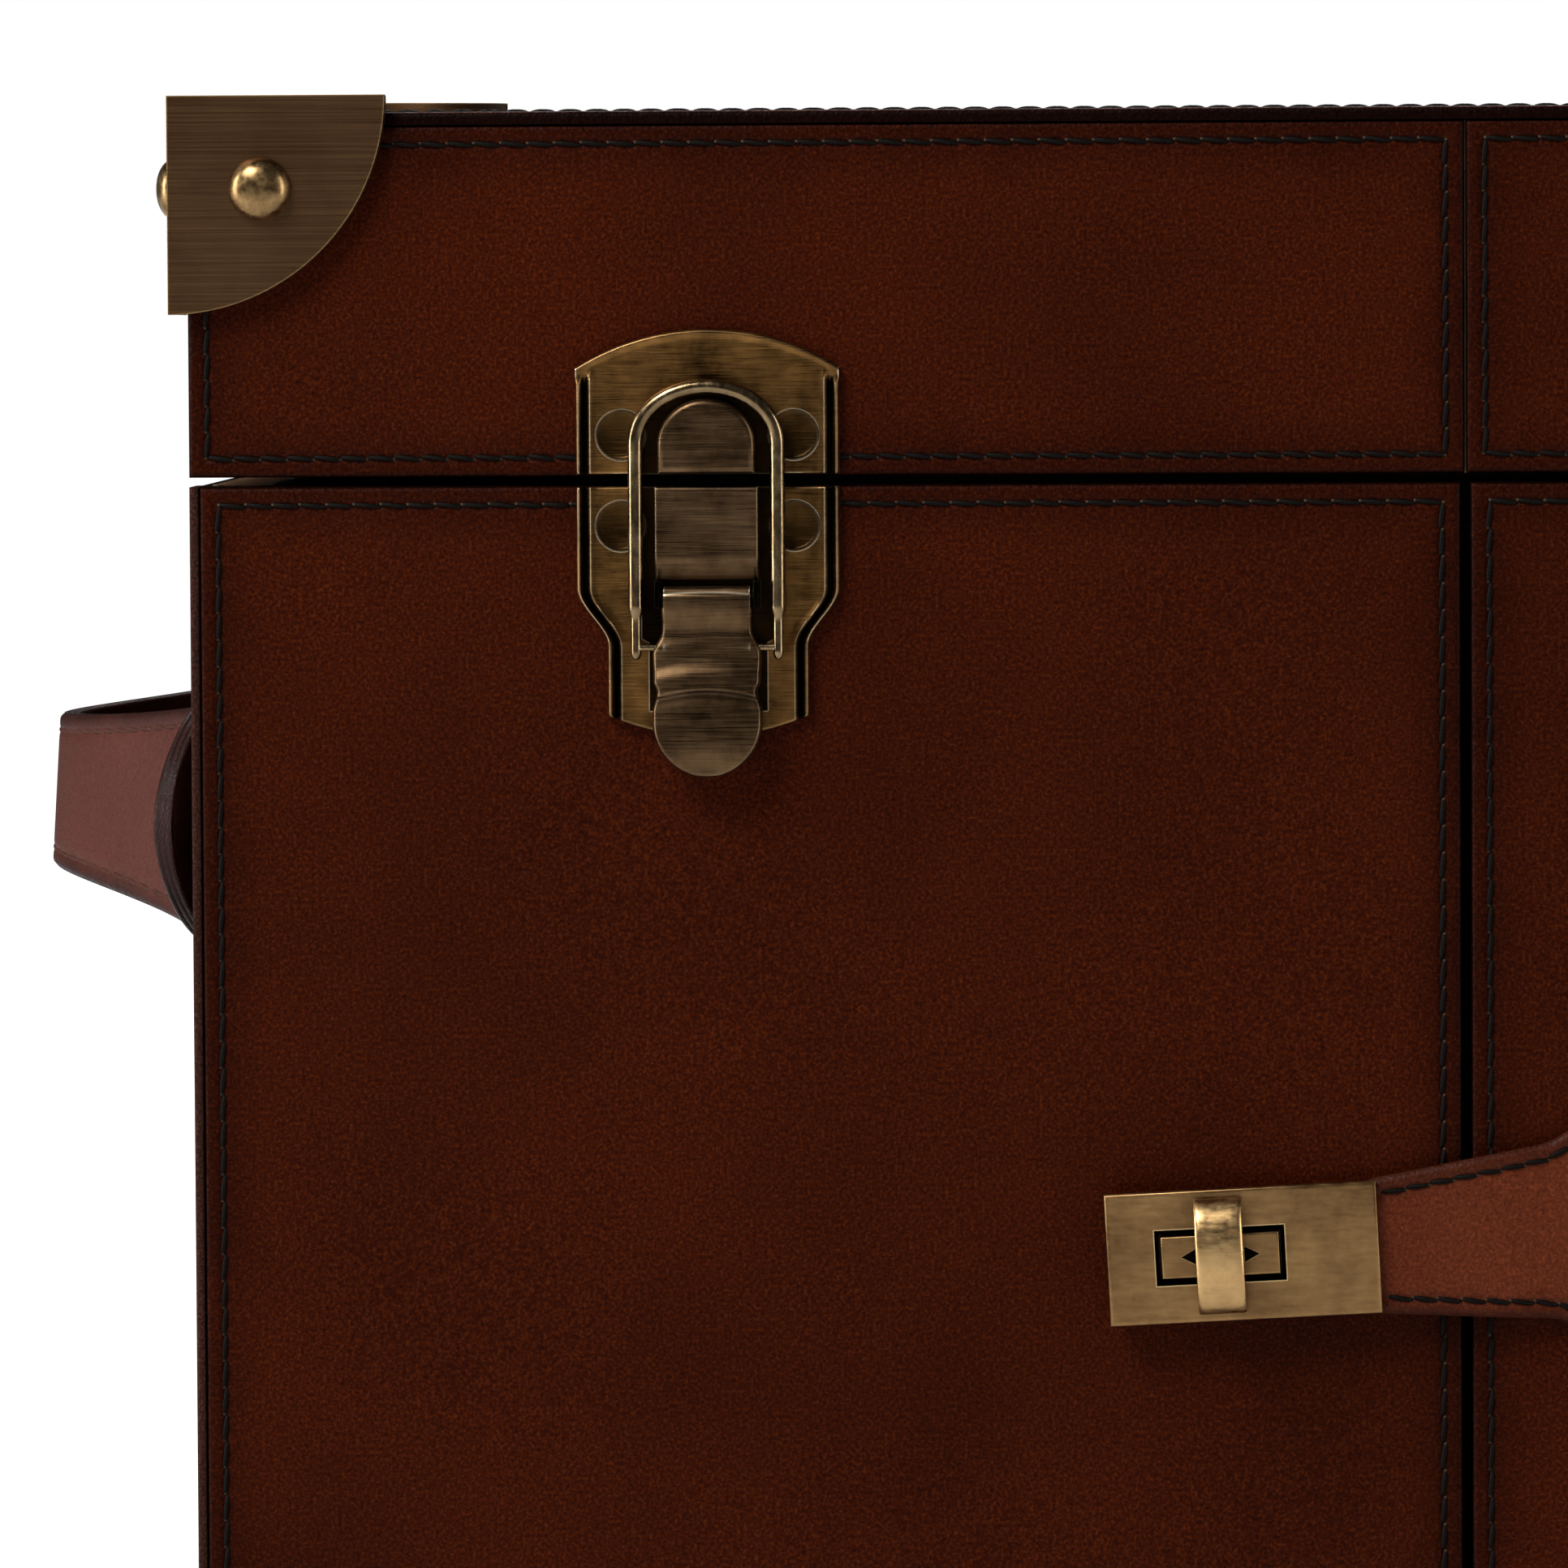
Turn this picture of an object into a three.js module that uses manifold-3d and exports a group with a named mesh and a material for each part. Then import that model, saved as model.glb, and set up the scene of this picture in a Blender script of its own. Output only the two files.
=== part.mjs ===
// A leather-covered flight case: a carcass with a rear-hinged lid, two front doors, two draw latches,
// a strap with a turnlock across the doors, and a leather handle on each side.
// Millimetres. +X is to the right, +Y to the back and +Z up; the case stands on its studs at z = 0.
import * as THREE from "three";
import { mergeVertices } from "three/addons/utils/BufferGeometryUtils.js";
import Module from "manifold-3d";

const wasm = await Module();
wasm.setup();

// ---- Driving dimensions ----
const caseWidth = 350; // over the side leathers
const caseDepth = 190; // from the front leather to the back leather
const bodyHeight = 220; // from the base leather to the top of the doors
const lidHeight = 50;
const seamGap = 1.3; // between lid and body, and between doors and carcass
const doorGap = 1.3; // between the two doors
const doorFloorGap = 1.0; // the doors hang clear of the base
const leather = 1.8;
const edgeLeather = 1.3; // skived leather turned round a door's edges
const board = 7; // wooden boards
const lining = 1.0;
const glue = 0.1; // between bonded faces
const airGap = 0.3; // between pieces that only meet
const bite = 0.3; // how deep one piece of a casting reaches into the next

const bracketPlate = 2.3; // sheet and padding of a corner bracket
const bracketRadius = 30;
const bracketSetback = 2; // keeps a front base bracket out of the door's swing
const rivetInset = 12.8; // from both edges of a bracket to its rivet
const rivetRadius = 4.25;
const rivetHeight = 2.2;
const studHeight = 3;
const studRadius = 6;

const hingePinRadius = 1.0;
const hingeBore = 0.25; // running clearance round a hinge pin
const hingeBarrelRadius = 1.7;
const hingeInset = 0.8; // from the outer face to the pin's axis
const hingeLeafThickness = 0.5;
const hingeLeafWidth = 9;
const hingeEndMargin = 10;
const knuckleGap = 0.4;
const lidKnuckles = 9;
const doorKnuckles = 7;

const latchOffset = 103.5; // from the case's middle to each draw latch
const latchPlate = 1.2;
const latchWidth = 36.1;
const latchRivetRadius = 3.5;
const latchRivetHeight = 0.8;
const latchRivetSpread = 11.8; // from the latch's middle to each rivet
const latchRivetInset = 5.4; // from a plate's edge at the seam to its rivets
const keeperHeight = 19.9;
const keeperRise = 5.2; // of the arched top
const keeperLift = 0.9; // above the middle of the seam
const tongueWidth = 13.4;
const tongueHeight = 10.4;
const tongueProud = 3.4; // in front of the keeper plate
const basePlateHeight = 34.4;
const basePlateShoulder = 14; // height of its wide part
const basePlateWaist = 27.6;
const basePlateSag = 3; // of its curved lower edge
const ogee = { height: 8, lower: 6, upper: 3 }; // of the plate's sides, with the pull of its curve
const bossHeight = 12.2;
const bossProud = 3.1; // low enough for the lever to swing past it
const earThickness = 0.8;
const leverDrop = 15.4; // from the seam to the lever's hinge
const leverLength = 25; // from its hinge to its tip
const leverTopWidth = 12.2;
const leverTipRadius = 7.2;
const leverFlare = { lower: 7, upper: 10 }; // the pull of the curve from its hinge to its tip
const leverPlate = 2.2;
const leverBarrelRadius = 2.0;
const leverPinRadius = 0.9;
const bossWidth = leverTopWidth + 2 * (airGap + earThickness); // the lever turns between its ears
const bailDrop = 22.9; // from the seam to the bail's pivot
const bailReach = 14; // from the seam up to the top of the bail
const bailRise = 8; // of its arch
const bailWidth = 21.6; // over the wire
const wireRadius = 1.05;
const bailPinGrip = 2.6; // length of each pivot end inside the lever
const bailLegRadius = 1.03;
const bailPinRadius = 1.0;
const pivotClearance = 0.25;

const strapTilt = THREE.MathUtils.degToRad(3); // the strap climbs to the right
const strapDrop = 106; // from the seam to the turnlock
const turnlockOffset = 33; // from the door gap to the knob
const turnBase = { length: 28, width: 12, thickness: 0.8 };
const turnBoss = { length: 16.4, width: 6.1, proud: 0.5 };
const plateLength = 37.2;
const plateWidth = 18.1;
const plateThickness = 1.2;
const plateShift = 3.1; // the plate's middle lies this far to the right of its slot
const slotClearance = 0.5; // round the boss
const strapThickness = 2.0;
const strapNarrow = 17.4;
const strapWide = 23.4;
const strapLength = 57; // from the plate's end to the fold
const padRadius = 17;
const padReach = 18; // from the fold to the pad's middle
const knobLength = 15.9;
const knobWidth = 6.5;
const knobProud = 3.8;
const knobPull = { along: 0.9, out: 0.8 }; // the pull of its arch's curve, of its half length and rise
const knobStemRadius = 1.6;
const knobStemLength = 3;

const handleDrop = 97.6; // from the top of the lid to the handle's middle
const handleSpan = 100; // between the rivets in its tabs
const handleReach = 30.6; // from the side leather to the outside of the grip
const handleWidth = 22; // of the grip
const handleThickness = 3.0;
const tabRadius = 16.5;
const tabLift = 4.0; // of each tab's tip, beyond its seat
const washerRadius = 10; // of the leather washer under each tab
const washerThickness = 1.7;

// ---- Heights and faces worked out from them ----
const halfWidth = caseWidth / 2;
const halfDepth = caseDepth / 2;
const front = -halfDepth;
const baseZ = studHeight + bracketPlate + glue;
const bodyTop = baseZ + bodyHeight;
const seamZ = bodyTop + seamGap / 2;
const lidBottom = bodyTop + seamGap;
const lidTop = lidBottom + lidHeight;
const doorBottom = baseZ + doorFloorGap;
const skin = leather + glue; // from an outer face to the board behind it
const wall = skin + board + glue; // from an outer face to the lining
const doorThickness = wall + lining;
const doorBack = front + doorThickness;
const carcassFront = doorBack + seamGap;
const floorTop = baseZ + wall;
const lidCeiling = lidTop - wall;
const hingeRelief = hingeBarrelRadius + airGap;
const sides = { left: -1, right: 1 };

// ---- Materials ----
const finish = (color, roughness, metalness = 0) =>
  new THREE.MeshStandardMaterial({ color, roughness, metalness });
const chestnut = finish(0x3f150a, 0.5);
const tan = finish(0x5f2b1b, 0.55);
const grip = finish(0x70463c, 0.5);
const wood = finish(0x9a7650, 0.8);
const cloth = finish(0x5a4636, 0.95);
const darkBrass = finish(0x5e4a34, 0.45, 0.9);
const brass = finish(0x8a6b40, 0.4, 0.9);

const part = new THREE.Group();

function add(name, geometry, material, parent = part) {
  const mesh = new THREE.Mesh(geometry, material);
  mesh.name = name;
  parent.add(mesh);
  return mesh;
}

// ---- Geometry helpers ----
const span = ([a, b]) => ({ size: Math.abs(b - a), middle: (a + b) / 2 });

// A block between two values along each axis, in either order.
function block(x, y, z) {
  const [sx, sy, sz] = [x, y, z].map(span);
  const geometry = new THREE.BoxGeometry(sx.size, sy.size, sz.size);
  return geometry.translate(sx.middle, sy.middle, sz.middle);
}

// A cylinder along one axis from low to high, with its middle line at the other two coordinates.
function rod(axis, radius, [low, high], at, segments = 12) {
  const geometry = new THREE.CylinderGeometry(radius, radius, high - low, segments);
  geometry.translate(0, (low + high) / 2, 0);
  if (axis === "x") geometry.rotateZ(-Math.PI / 2).translate(0, at[0], at[1]);
  if (axis === "y") geometry.translate(at[0], 0, at[1]);
  if (axis === "z") geometry.rotateX(Math.PI / 2).translate(at[0], at[1], 0);
  return geometry;
}

// An outline drawn in X and Z, standing forward from the plane y = back.
function standing(shape, back, thickness, curveSegments = 8) {
  const settings = { depth: thickness, bevelEnabled: false, curveSegments };
  return new THREE.ExtrudeGeometry(shape, settings).rotateX(Math.PI / 2).translate(0, back, 0);
}

function solidOf(geometry) {
  const plain = geometry.clone();
  plain.deleteAttribute("normal");
  plain.deleteAttribute("uv");
  const merged = mergeVertices(plain);
  return new wasm.Manifold(
    new wasm.Mesh({
      numProp: 3,
      vertProperties: merged.attributes.position.array,
      triVerts: new Uint32Array(merged.index.array),
    }),
  );
}

function geometryOf(solid) {
  const mesh = solid.getMesh();
  const geometry = new THREE.BufferGeometry();
  geometry.setAttribute("position", new THREE.BufferAttribute(mesh.vertProperties, 3));
  geometry.setIndex(new THREE.BufferAttribute(mesh.triVerts, 1));
  geometry.computeVertexNormals();
  return geometry;
}

// Joins the first list of geometries and cuts the second list out of them.
function formed(joined, cuts = []) {
  let solid = joined.map(solidOf).reduce((sum, next) => sum.add(next));
  for (const cut of cuts) solid = solid.subtract(solidOf(cut));
  return geometryOf(solid);
}

// A solid of revolution about +Z, from a profile of [radius, height] pairs that climbs.
function turned(profile, segments = 14) {
  const points = profile.map(([radius, height]) => new THREE.Vector2(radius, height));
  return new THREE.LatheGeometry(points, segments).rotateX(Math.PI / 2);
}

// A domed rivet head that stands up along +Z from the plane z = 0 and is sunk a little below it.
function rivetHead(radius, height, sunk = 0.5, steps = 3) {
  const profile = [
    [0, -sunk],
    [radius, -sunk],
  ];
  for (let i = 0; i <= steps; i++) {
    const angle = (i / steps) * (Math.PI / 2);
    profile.push([i === steps ? 0 : radius * Math.cos(angle), height * Math.sin(angle)]);
  }
  return turned(profile);
}

// ---- Hinges ----
// The channel round a hinge's barrel, cut from everything beside it.
const doorHingeAt = (side) => [side * (halfWidth - hingeInset), (doorBack + carcassFront) / 2];
const lidHingeAt = [halfDepth - hingeInset, seamZ];
const doorRelief = (side) => rod("z", hingeRelief, [0, lidTop], doorHingeAt(side), 24);
const lidRelief = () => rod("x", hingeRelief, [-caseWidth, caseWidth], lidHingeAt, 24);

// One leaf of a piano hinge, drawn with its pin along X from 0 to length and its plate along +Y.
// Every second knuckle belongs to it; its plate lies above the pin (side 1) or below it (side -1).
function hingeLeaf(length, knuckles, first, side) {
  const pitch = length / knuckles;
  const low = side * (seamGap / 2 - hingeLeafThickness - glue);
  const high = side * (seamGap / 2 - glue);
  const pieces = [block([0, length], [hingeRelief, hingeLeafWidth], [low, high])];
  for (let k = first; k < knuckles; k += 2) {
    const along = [k * pitch + knuckleGap / 2, (k + 1) * pitch - knuckleGap / 2];
    pieces.push(rod("x", hingeBarrelRadius, along, [0, 0]));
    pieces.push(block(along, [hingePinRadius, hingeRelief + glue], [low, high]));
  }
  const bore = rod("x", hingePinRadius + hingeBore, [-1, length + 1], [0, 0]);
  return formed(pieces, [bore]);
}

const hingePin = (length) => rod("x", hingePinRadius, [0, length], [0, 0]);

// ---- Carcass ----
function carcass() {
  const z = [baseZ, bodyTop];
  const boardZ = [baseZ + skin, bodyTop];
  const back = [carcassFront, halfDepth];
  for (const [name, side] of Object.entries(sides)) {
    const cuts = [doorRelief(side), lidRelief()];
    const skinX = [side * halfWidth, side * (halfWidth - leather)];
    const boardX = [side * (halfWidth - skin), side * (halfWidth - skin - board)];
    add(`case_side_leather_${name}`, formed([block(skinX, back, z)], cuts), chestnut);
    const boardY = [carcassFront, halfDepth - skin];
    add(`case_side_board_${name}`, formed([block(boardX, boardY, boardZ)], cuts), wood);
  }
  const skinX = [skin - halfWidth, halfWidth - skin];
  const innerX = [wall - halfWidth, halfWidth - wall];
  const backSkin = block(skinX, [halfDepth - leather, halfDepth], z);
  add("case_back_leather", formed([backSkin], [lidRelief()]), chestnut);
  const backBoard = block(innerX, [halfDepth - skin - board, halfDepth - skin], boardZ);
  add("case_back_board", formed([backBoard], [lidRelief()]), wood);
  const baseSkin = block(skinX, [carcassFront, halfDepth - skin], [baseZ, baseZ + leather]);
  add("case_base_leather", baseSkin, chestnut);
  const baseBoard = block(innerX, [carcassFront, halfDepth - wall], [baseZ + skin, floorTop - glue]);
  add("case_base_board", baseBoard, wood);

  const clothX = innerX.map((x) => x - Math.sign(x) * glue);
  const pocketX = clothX.map((x) => x - Math.sign(x) * lining);
  const clothBack = halfDepth - wall - glue;
  const tray = block(clothX, [carcassFront, clothBack], [floorTop, bodyTop]);
  const room = block(pocketX, [carcassFront - 1, clothBack - lining], [floorTop + lining, bodyTop + 1]);
  add("case_lining", formed([tray], [room]), cloth);
}

// ---- Lid ----
function lid() {
  const outerX = [-halfWidth, halfWidth];
  const outerY = [-halfDepth, halfDepth];
  const skinZ = [lidBottom, lidTop - skin];
  add("lid_top_leather", block(outerX, outerY, [lidTop - leather, lidTop]), chestnut);
  for (const [name, side] of Object.entries(sides)) {
    const panelX = [side * glue, side * halfWidth];
    const panel = block(panelX, [front, front + leather], skinZ);
    add(`lid_front_leather_${name}`, panel, chestnut);
    const sideX = [side * halfWidth, side * (halfWidth - leather)];
    const sideSkin = block(sideX, [skin - halfDepth, halfDepth - skin], skinZ);
    add(`lid_side_leather_${name}`, formed([sideSkin], [lidRelief()]), chestnut);
  }
  const backSkin = block(outerX, [halfDepth - leather, halfDepth], skinZ);
  add("lid_back_leather", formed([backSkin], [lidRelief()]), chestnut);

  const boardX = outerX.map((x) => x - Math.sign(x) * skin);
  const boardY = outerY.map((y) => y - Math.sign(y) * skin);
  const roomX = boardX.map((x) => x - Math.sign(x) * board);
  const roomY = boardY.map((y) => y - Math.sign(y) * board);
  const rimTop = lidTop - skin - board - glue;
  add("lid_top_board", block(boardX, boardY, [lidTop - skin - board, lidTop - skin]), wood);
  const ring = block(boardX, boardY, [lidBottom, rimTop]);
  const hollow = block(roomX, roomY, [lidBottom - 1, rimTop + 1]);
  add("lid_rim", formed([ring], [hollow, lidRelief()]), wood);

  const clothX = roomX.map((x) => x - Math.sign(x) * glue);
  const clothY = roomY.map((y) => y - Math.sign(y) * glue);
  const freeX = clothX.map((x) => x - Math.sign(x) * lining);
  const freeY = clothY.map((y) => y - Math.sign(y) * lining);
  const tray = block(clothX, clothY, [lidBottom, lidCeiling - glue]);
  const room = block(freeX, freeY, [lidBottom - 1, lidCeiling - glue - lining]);
  add("lid_lining", formed([tray], [room]), cloth);
}

// ---- Doors ----
function door(name, side) {
  const edge = edgeLeather + glue;
  const outer = [side * halfWidth, side * (doorGap / 2)];
  const inner = [side * (halfWidth - edge), side * (doorGap / 2 + edge)];
  const pocket = [side * (halfWidth - edgeLeather), side * (doorGap / 2 + edgeLeather)];
  const relief = doorRelief(side);
  const pan = block(outer, [front, doorBack], [doorBottom, bodyTop]);
  const pocketZ = [doorBottom + edgeLeather, bodyTop - edgeLeather];
  const hollow = block(pocket, [front + leather, doorBack + 1], pocketZ);
  add(`door_leather_${name}`, formed([pan], [hollow, relief]), chestnut);
  const innerZ = [doorBottom + edge, bodyTop - edge];
  const panel = block(inner, [front + skin, front + skin + board], innerZ);
  add(`door_board_${name}`, formed([panel], [relief]), wood);
  const sheet = block(inner, [doorBack - lining, doorBack], innerZ);
  add(`door_lining_${name}`, formed([sheet], [relief]), cloth);
}

// ---- Hinges in place ----
function hinges() {
  const lidLength = caseWidth - 2 * hingeEndMargin;
  const lidHinge = new THREE.Group();
  lidHinge.position.set(lidLength / 2, ...lidHingeAt);
  lidHinge.rotation.z = Math.PI;
  part.add(lidHinge);
  add("lid_hinge_case_leaf", hingeLeaf(lidLength, lidKnuckles, 0, -1), darkBrass, lidHinge);
  add("lid_hinge_lid_leaf", hingeLeaf(lidLength, lidKnuckles, 1, 1), darkBrass, lidHinge);
  add("lid_hinge_pin", hingePin(lidLength), darkBrass, lidHinge);

  const doorLength = bodyTop - doorBottom - 2 * hingeEndMargin;
  for (const [name, side] of Object.entries(sides)) {
    const low = doorBottom + hingeEndMargin;
    const doorHinge = new THREE.Group();
    // The pin's line turns up to +Z, and the plate's direction points to the middle of the case.
    const along = new THREE.Vector3(0, 0, side);
    const inward = new THREE.Vector3(-side, 0, 0);
    const across = new THREE.Vector3().crossVectors(along, inward);
    const turn = new THREE.Matrix4().makeBasis(along, inward, across);
    doorHinge.quaternion.setFromRotationMatrix(turn);
    doorHinge.position.set(...doorHingeAt(side), side > 0 ? low : low + doorLength);
    part.add(doorHinge);
    const leaf = (first, plateSide) => hingeLeaf(doorLength, doorKnuckles, first, plateSide);
    add(`door_hinge_case_leaf_${name}`, leaf(0, -1), darkBrass, doorHinge);
    add(`door_hinge_door_leaf_${name}`, leaf(1, 1), darkBrass, doorHinge);
    add(`door_hinge_pin_${name}`, hingePin(doorLength), darkBrass, doorHinge);
  }
}

// ---- Corner brackets ----
// Turns that carry the plane z = 0 on to the planes x = 0 and y = 0 of the same corner.
const [unitX, unitY, unitZ] = [0, 1, 2].map((i) => new THREE.Vector3().setComponent(i, 1));
const faceTurns = {
  x: new THREE.Matrix4().makeBasis(unitY, unitZ, unitX),
  y: new THREE.Matrix4().makeBasis(unitZ, unitX, unitY),
  z: new THREE.Matrix4(),
};

function footStud() {
  const sunk = bracketPlate / 2;
  return turned([
    [0, -sunk],
    [studRadius, -sunk],
    [studRadius, studHeight / 2],
    [studRadius - 1, studHeight],
    [0, studHeight],
  ]);
}

// A bracket on the corner at the origin of a case that fills the octant of positive x, y and z.
// Each face named is a quarter disc. The side faces have a rivet, and a face under the case a foot stud.
function cornerBracket(faces, foot) {
  const shape = new THREE.Shape();
  shape.moveTo(0, 0);
  shape.lineTo(bracketRadius, 0);
  shape.absarc(0, 0, bracketRadius, 0, Math.PI / 2, false);
  const pieces = faces.flatMap((face) => {
    const plate = new THREE.ExtrudeGeometry(shape, {
      depth: bracketPlate,
      bevelEnabled: false,
      curveSegments: 8,
    });
    const heads = face === "z" ? (foot ? [footStud()] : []) : [rivetHead(rivetRadius, rivetHeight)];
    for (const head of heads) head.rotateX(Math.PI).translate(rivetInset, rivetInset, 0);
    return [plate, ...heads].map((geometry) => geometry.applyMatrix4(faceTurns[face]));
  });
  return formed(pieces);
}

function brackets() {
  const proud = bracketPlate + glue;
  for (const [name, side] of Object.entries(sides)) {
    const corners = {
      [`lid_corner_front_${name}`]: [["x", "y", "z"], -1, false],
      [`lid_corner_back_${name}`]: [["x", "y", "z"], 1, false],
      [`base_corner_front_${name}`]: [["x", "z"], -1, true],
      [`base_corner_back_${name}`]: [["x", "y", "z"], 1, true],
    };
    for (const [node, [faces, end, foot]] of Object.entries(corners)) {
      const mesh = add(node, cornerBracket(faces, foot), darkBrass);
      const flushFront = foot && end < 0;
      const y = flushFront ? carcassFront + bracketSetback : end * (halfDepth + proud);
      const z = foot ? baseZ - proud : lidTop + proud;
      mesh.position.set(side * (halfWidth + proud), y, z);
      mesh.scale.set(-side, -end, foot ? 1 : -1);
    }
  }
}

// ---- Draw latches ----
// Drawn with x = 0 at the latch's middle, y = 0 on the front leather and z = 0 in the seam.
const plateFront = -(glue + latchPlate);
const pivotY = plateFront - airGap - leverBarrelRadius;

function latchRivets(z) {
  return [-1, 1].map((side) =>
    rod("y", latchRivetRadius, [plateFront - latchRivetHeight, plateFront + bite], [
      side * latchRivetSpread,
      z,
    ]),
  );
}

function keeper() {
  const half = latchWidth / 2;
  const shoulder = keeperLift + keeperHeight - keeperRise;
  const archRadius = (half ** 2 + keeperRise ** 2) / (2 * keeperRise);
  const archAngle = Math.asin(half / archRadius);
  const outline = new THREE.Shape();
  outline.moveTo(-half, keeperLift);
  outline.lineTo(half, keeperLift);
  outline.lineTo(half, shoulder);
  const archZ = shoulder + keeperRise - archRadius;
  const [from, to] = [Math.PI / 2 - archAngle, Math.PI / 2 + archAngle];
  outline.absarc(0, archZ, archRadius, from, to, false);
  const tongue = new THREE.Shape();
  const tongueShoulder = keeperLift + tongueHeight - tongueWidth / 2;
  tongue.moveTo(-tongueWidth / 2, keeperLift);
  tongue.lineTo(tongueWidth / 2, keeperLift);
  tongue.absarc(0, tongueShoulder, tongueWidth / 2, 0, Math.PI, false);
  const rivetZ = keeperLift + latchRivetInset;
  return formed([
    standing(outline, -glue, latchPlate),
    standing(tongue, plateFront + bite, tongueProud + bite),
    ...latchRivets(rivetZ),
  ]);
}

function latchBase() {
  const top = -(seamGap / 2 + glue);
  const half = latchWidth / 2;
  const waist = basePlateWaist / 2;
  const bottom = top - basePlateHeight;
  const outline = new THREE.Shape();
  outline.moveTo(half, top);
  outline.lineTo(-half, top);
  outline.lineTo(-half, top - basePlateShoulder);
  const ogeeEnd = top - basePlateShoulder - ogee.height;
  const [pullUp, pullDown] = [ogeeEnd + ogee.upper, ogeeEnd + ogee.lower];
  outline.bezierCurveTo(-half, pullUp, -waist, pullDown, -waist, ogeeEnd);
  outline.lineTo(-waist, bottom + basePlateSag);
  outline.quadraticCurveTo(0, bottom - basePlateSag, waist, bottom + basePlateSag);
  outline.lineTo(waist, ogeeEnd);
  outline.bezierCurveTo(waist, pullDown, half, pullUp, half, top - basePlateShoulder);
  const bossX = [-bossWidth / 2, bossWidth / 2];
  const boss = block(bossX, [plateFront + bite, plateFront - bossProud], [top, top - bossHeight]);
  const earY = [plateFront + bite, pivotY - leverBarrelRadius];
  const ears = [-1, 1].map((side) =>
    block(
      [(side * bossWidth) / 2, side * (bossWidth / 2 - earThickness)],
      earY,
      [top - bossHeight + bite, -leverDrop - leverBarrelRadius],
    ),
  );
  const pin = rod("x", leverPinRadius, bossX, [pivotY, -leverDrop]);
  return formed([
    standing(outline, -glue, latchPlate),
    boss,
    ...ears,
    pin,
    ...latchRivets(top - latchRivetInset),
  ]);
}

function lever() {
  const topHalf = leverTopWidth / 2;
  const tipZ = -leverDrop - leverLength + leverTipRadius;
  const outline = new THREE.Shape();
  outline.moveTo(topHalf, -leverDrop);
  outline.lineTo(-topHalf, -leverDrop);
  const [pullUp, pullDown] = [tipZ + leverFlare.upper, tipZ + leverFlare.lower];
  outline.bezierCurveTo(-topHalf, pullUp, -leverTipRadius, pullDown, -leverTipRadius, tipZ);
  outline.absarc(0, tipZ, leverTipRadius, Math.PI, 2 * Math.PI, false);
  outline.bezierCurveTo(leverTipRadius, pullDown, topHalf, pullUp, topHalf, -leverDrop);
  const barrelX = [-topHalf, topHalf];
  const reach = [-bossWidth, bossWidth];
  return formed(
    [
      standing(outline, plateFront - airGap, leverPlate),
      rod("x", leverBarrelRadius, barrelX, [pivotY, -leverDrop]),
      rod("x", leverBarrelRadius, barrelX, [pivotY, -bailDrop]),
    ],
    [
      rod("x", leverPinRadius + pivotClearance, reach, [pivotY, -leverDrop]),
      rod("x", wireRadius + pivotClearance, reach, [pivotY, -bailDrop]),
    ],
  );
}

function bail() {
  const legX = bailWidth / 2 - wireRadius;
  const archZ = bailReach - wireRadius - bailRise;
  const section = new THREE.Shape().absarc(0, 0, wireRadius, 0, 2 * Math.PI, false);
  const points = [];
  const steps = 12;
  for (let i = 0; i <= steps; i++) {
    const angle = (i / steps) * Math.PI;
    const height = archZ + bailRise * Math.sin(angle);
    points.push(new THREE.Vector3(legX * Math.cos(angle), pivotY, height));
  }
  const arch = new THREE.ExtrudeGeometry(section, {
    steps,
    curveSegments: 4,
    extrudePath: new THREE.CatmullRomCurve3(points),
  });
  const pinInner = leverTopWidth / 2 - bailPinGrip;
  const pieces = [arch];
  for (const side of [-1, 1]) {
    pieces.push(rod("z", bailLegRadius, [-bailDrop, archZ + bite], [side * legX, pivotY], 10));
    const along = side > 0 ? [pinInner, legX] : [-legX, -pinInner];
    pieces.push(rod("x", bailPinRadius, along, [pivotY, -bailDrop], 10));
    const elbow = new THREE.SphereGeometry(wireRadius, 10, 8);
    pieces.push(elbow.translate(side * legX, pivotY, -bailDrop));
  }
  return formed(pieces);
}

function latches() {
  for (const [name, side] of Object.entries(sides)) {
    const place = new THREE.Group();
    place.position.set(side * latchOffset, front, seamZ);
    part.add(place);
    add(`latch_keeper_${name}`, keeper(), brass, place);
    add(`latch_base_${name}`, latchBase(), brass, place);
    add(`latch_lever_${name}`, lever(), brass, place);
    add(`latch_bail_${name}`, bail(), brass, place);
  }
}

// ---- Closure strap and turnlock ----
// Drawn with x = 0 and z = 0 at the knob and y = 0 on the front leather, then tilted.
function oblong(length, width) {
  const reach = (length - width) / 2;
  const shape = new THREE.Shape();
  shape.absarc(reach, 0, width / 2, -Math.PI / 2, Math.PI / 2, false);
  shape.absarc(-reach, 0, width / 2, Math.PI / 2, (3 * Math.PI) / 2, false);
  return shape;
}

// A rectangle from left to right, centred on its length.
function rectangle(left, right, width) {
  const shape = new THREE.Shape();
  shape.moveTo(left, -width / 2);
  shape.lineTo(right, -width / 2);
  shape.lineTo(right, width / 2);
  shape.lineTo(left, width / 2);
  return shape;
}

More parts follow.
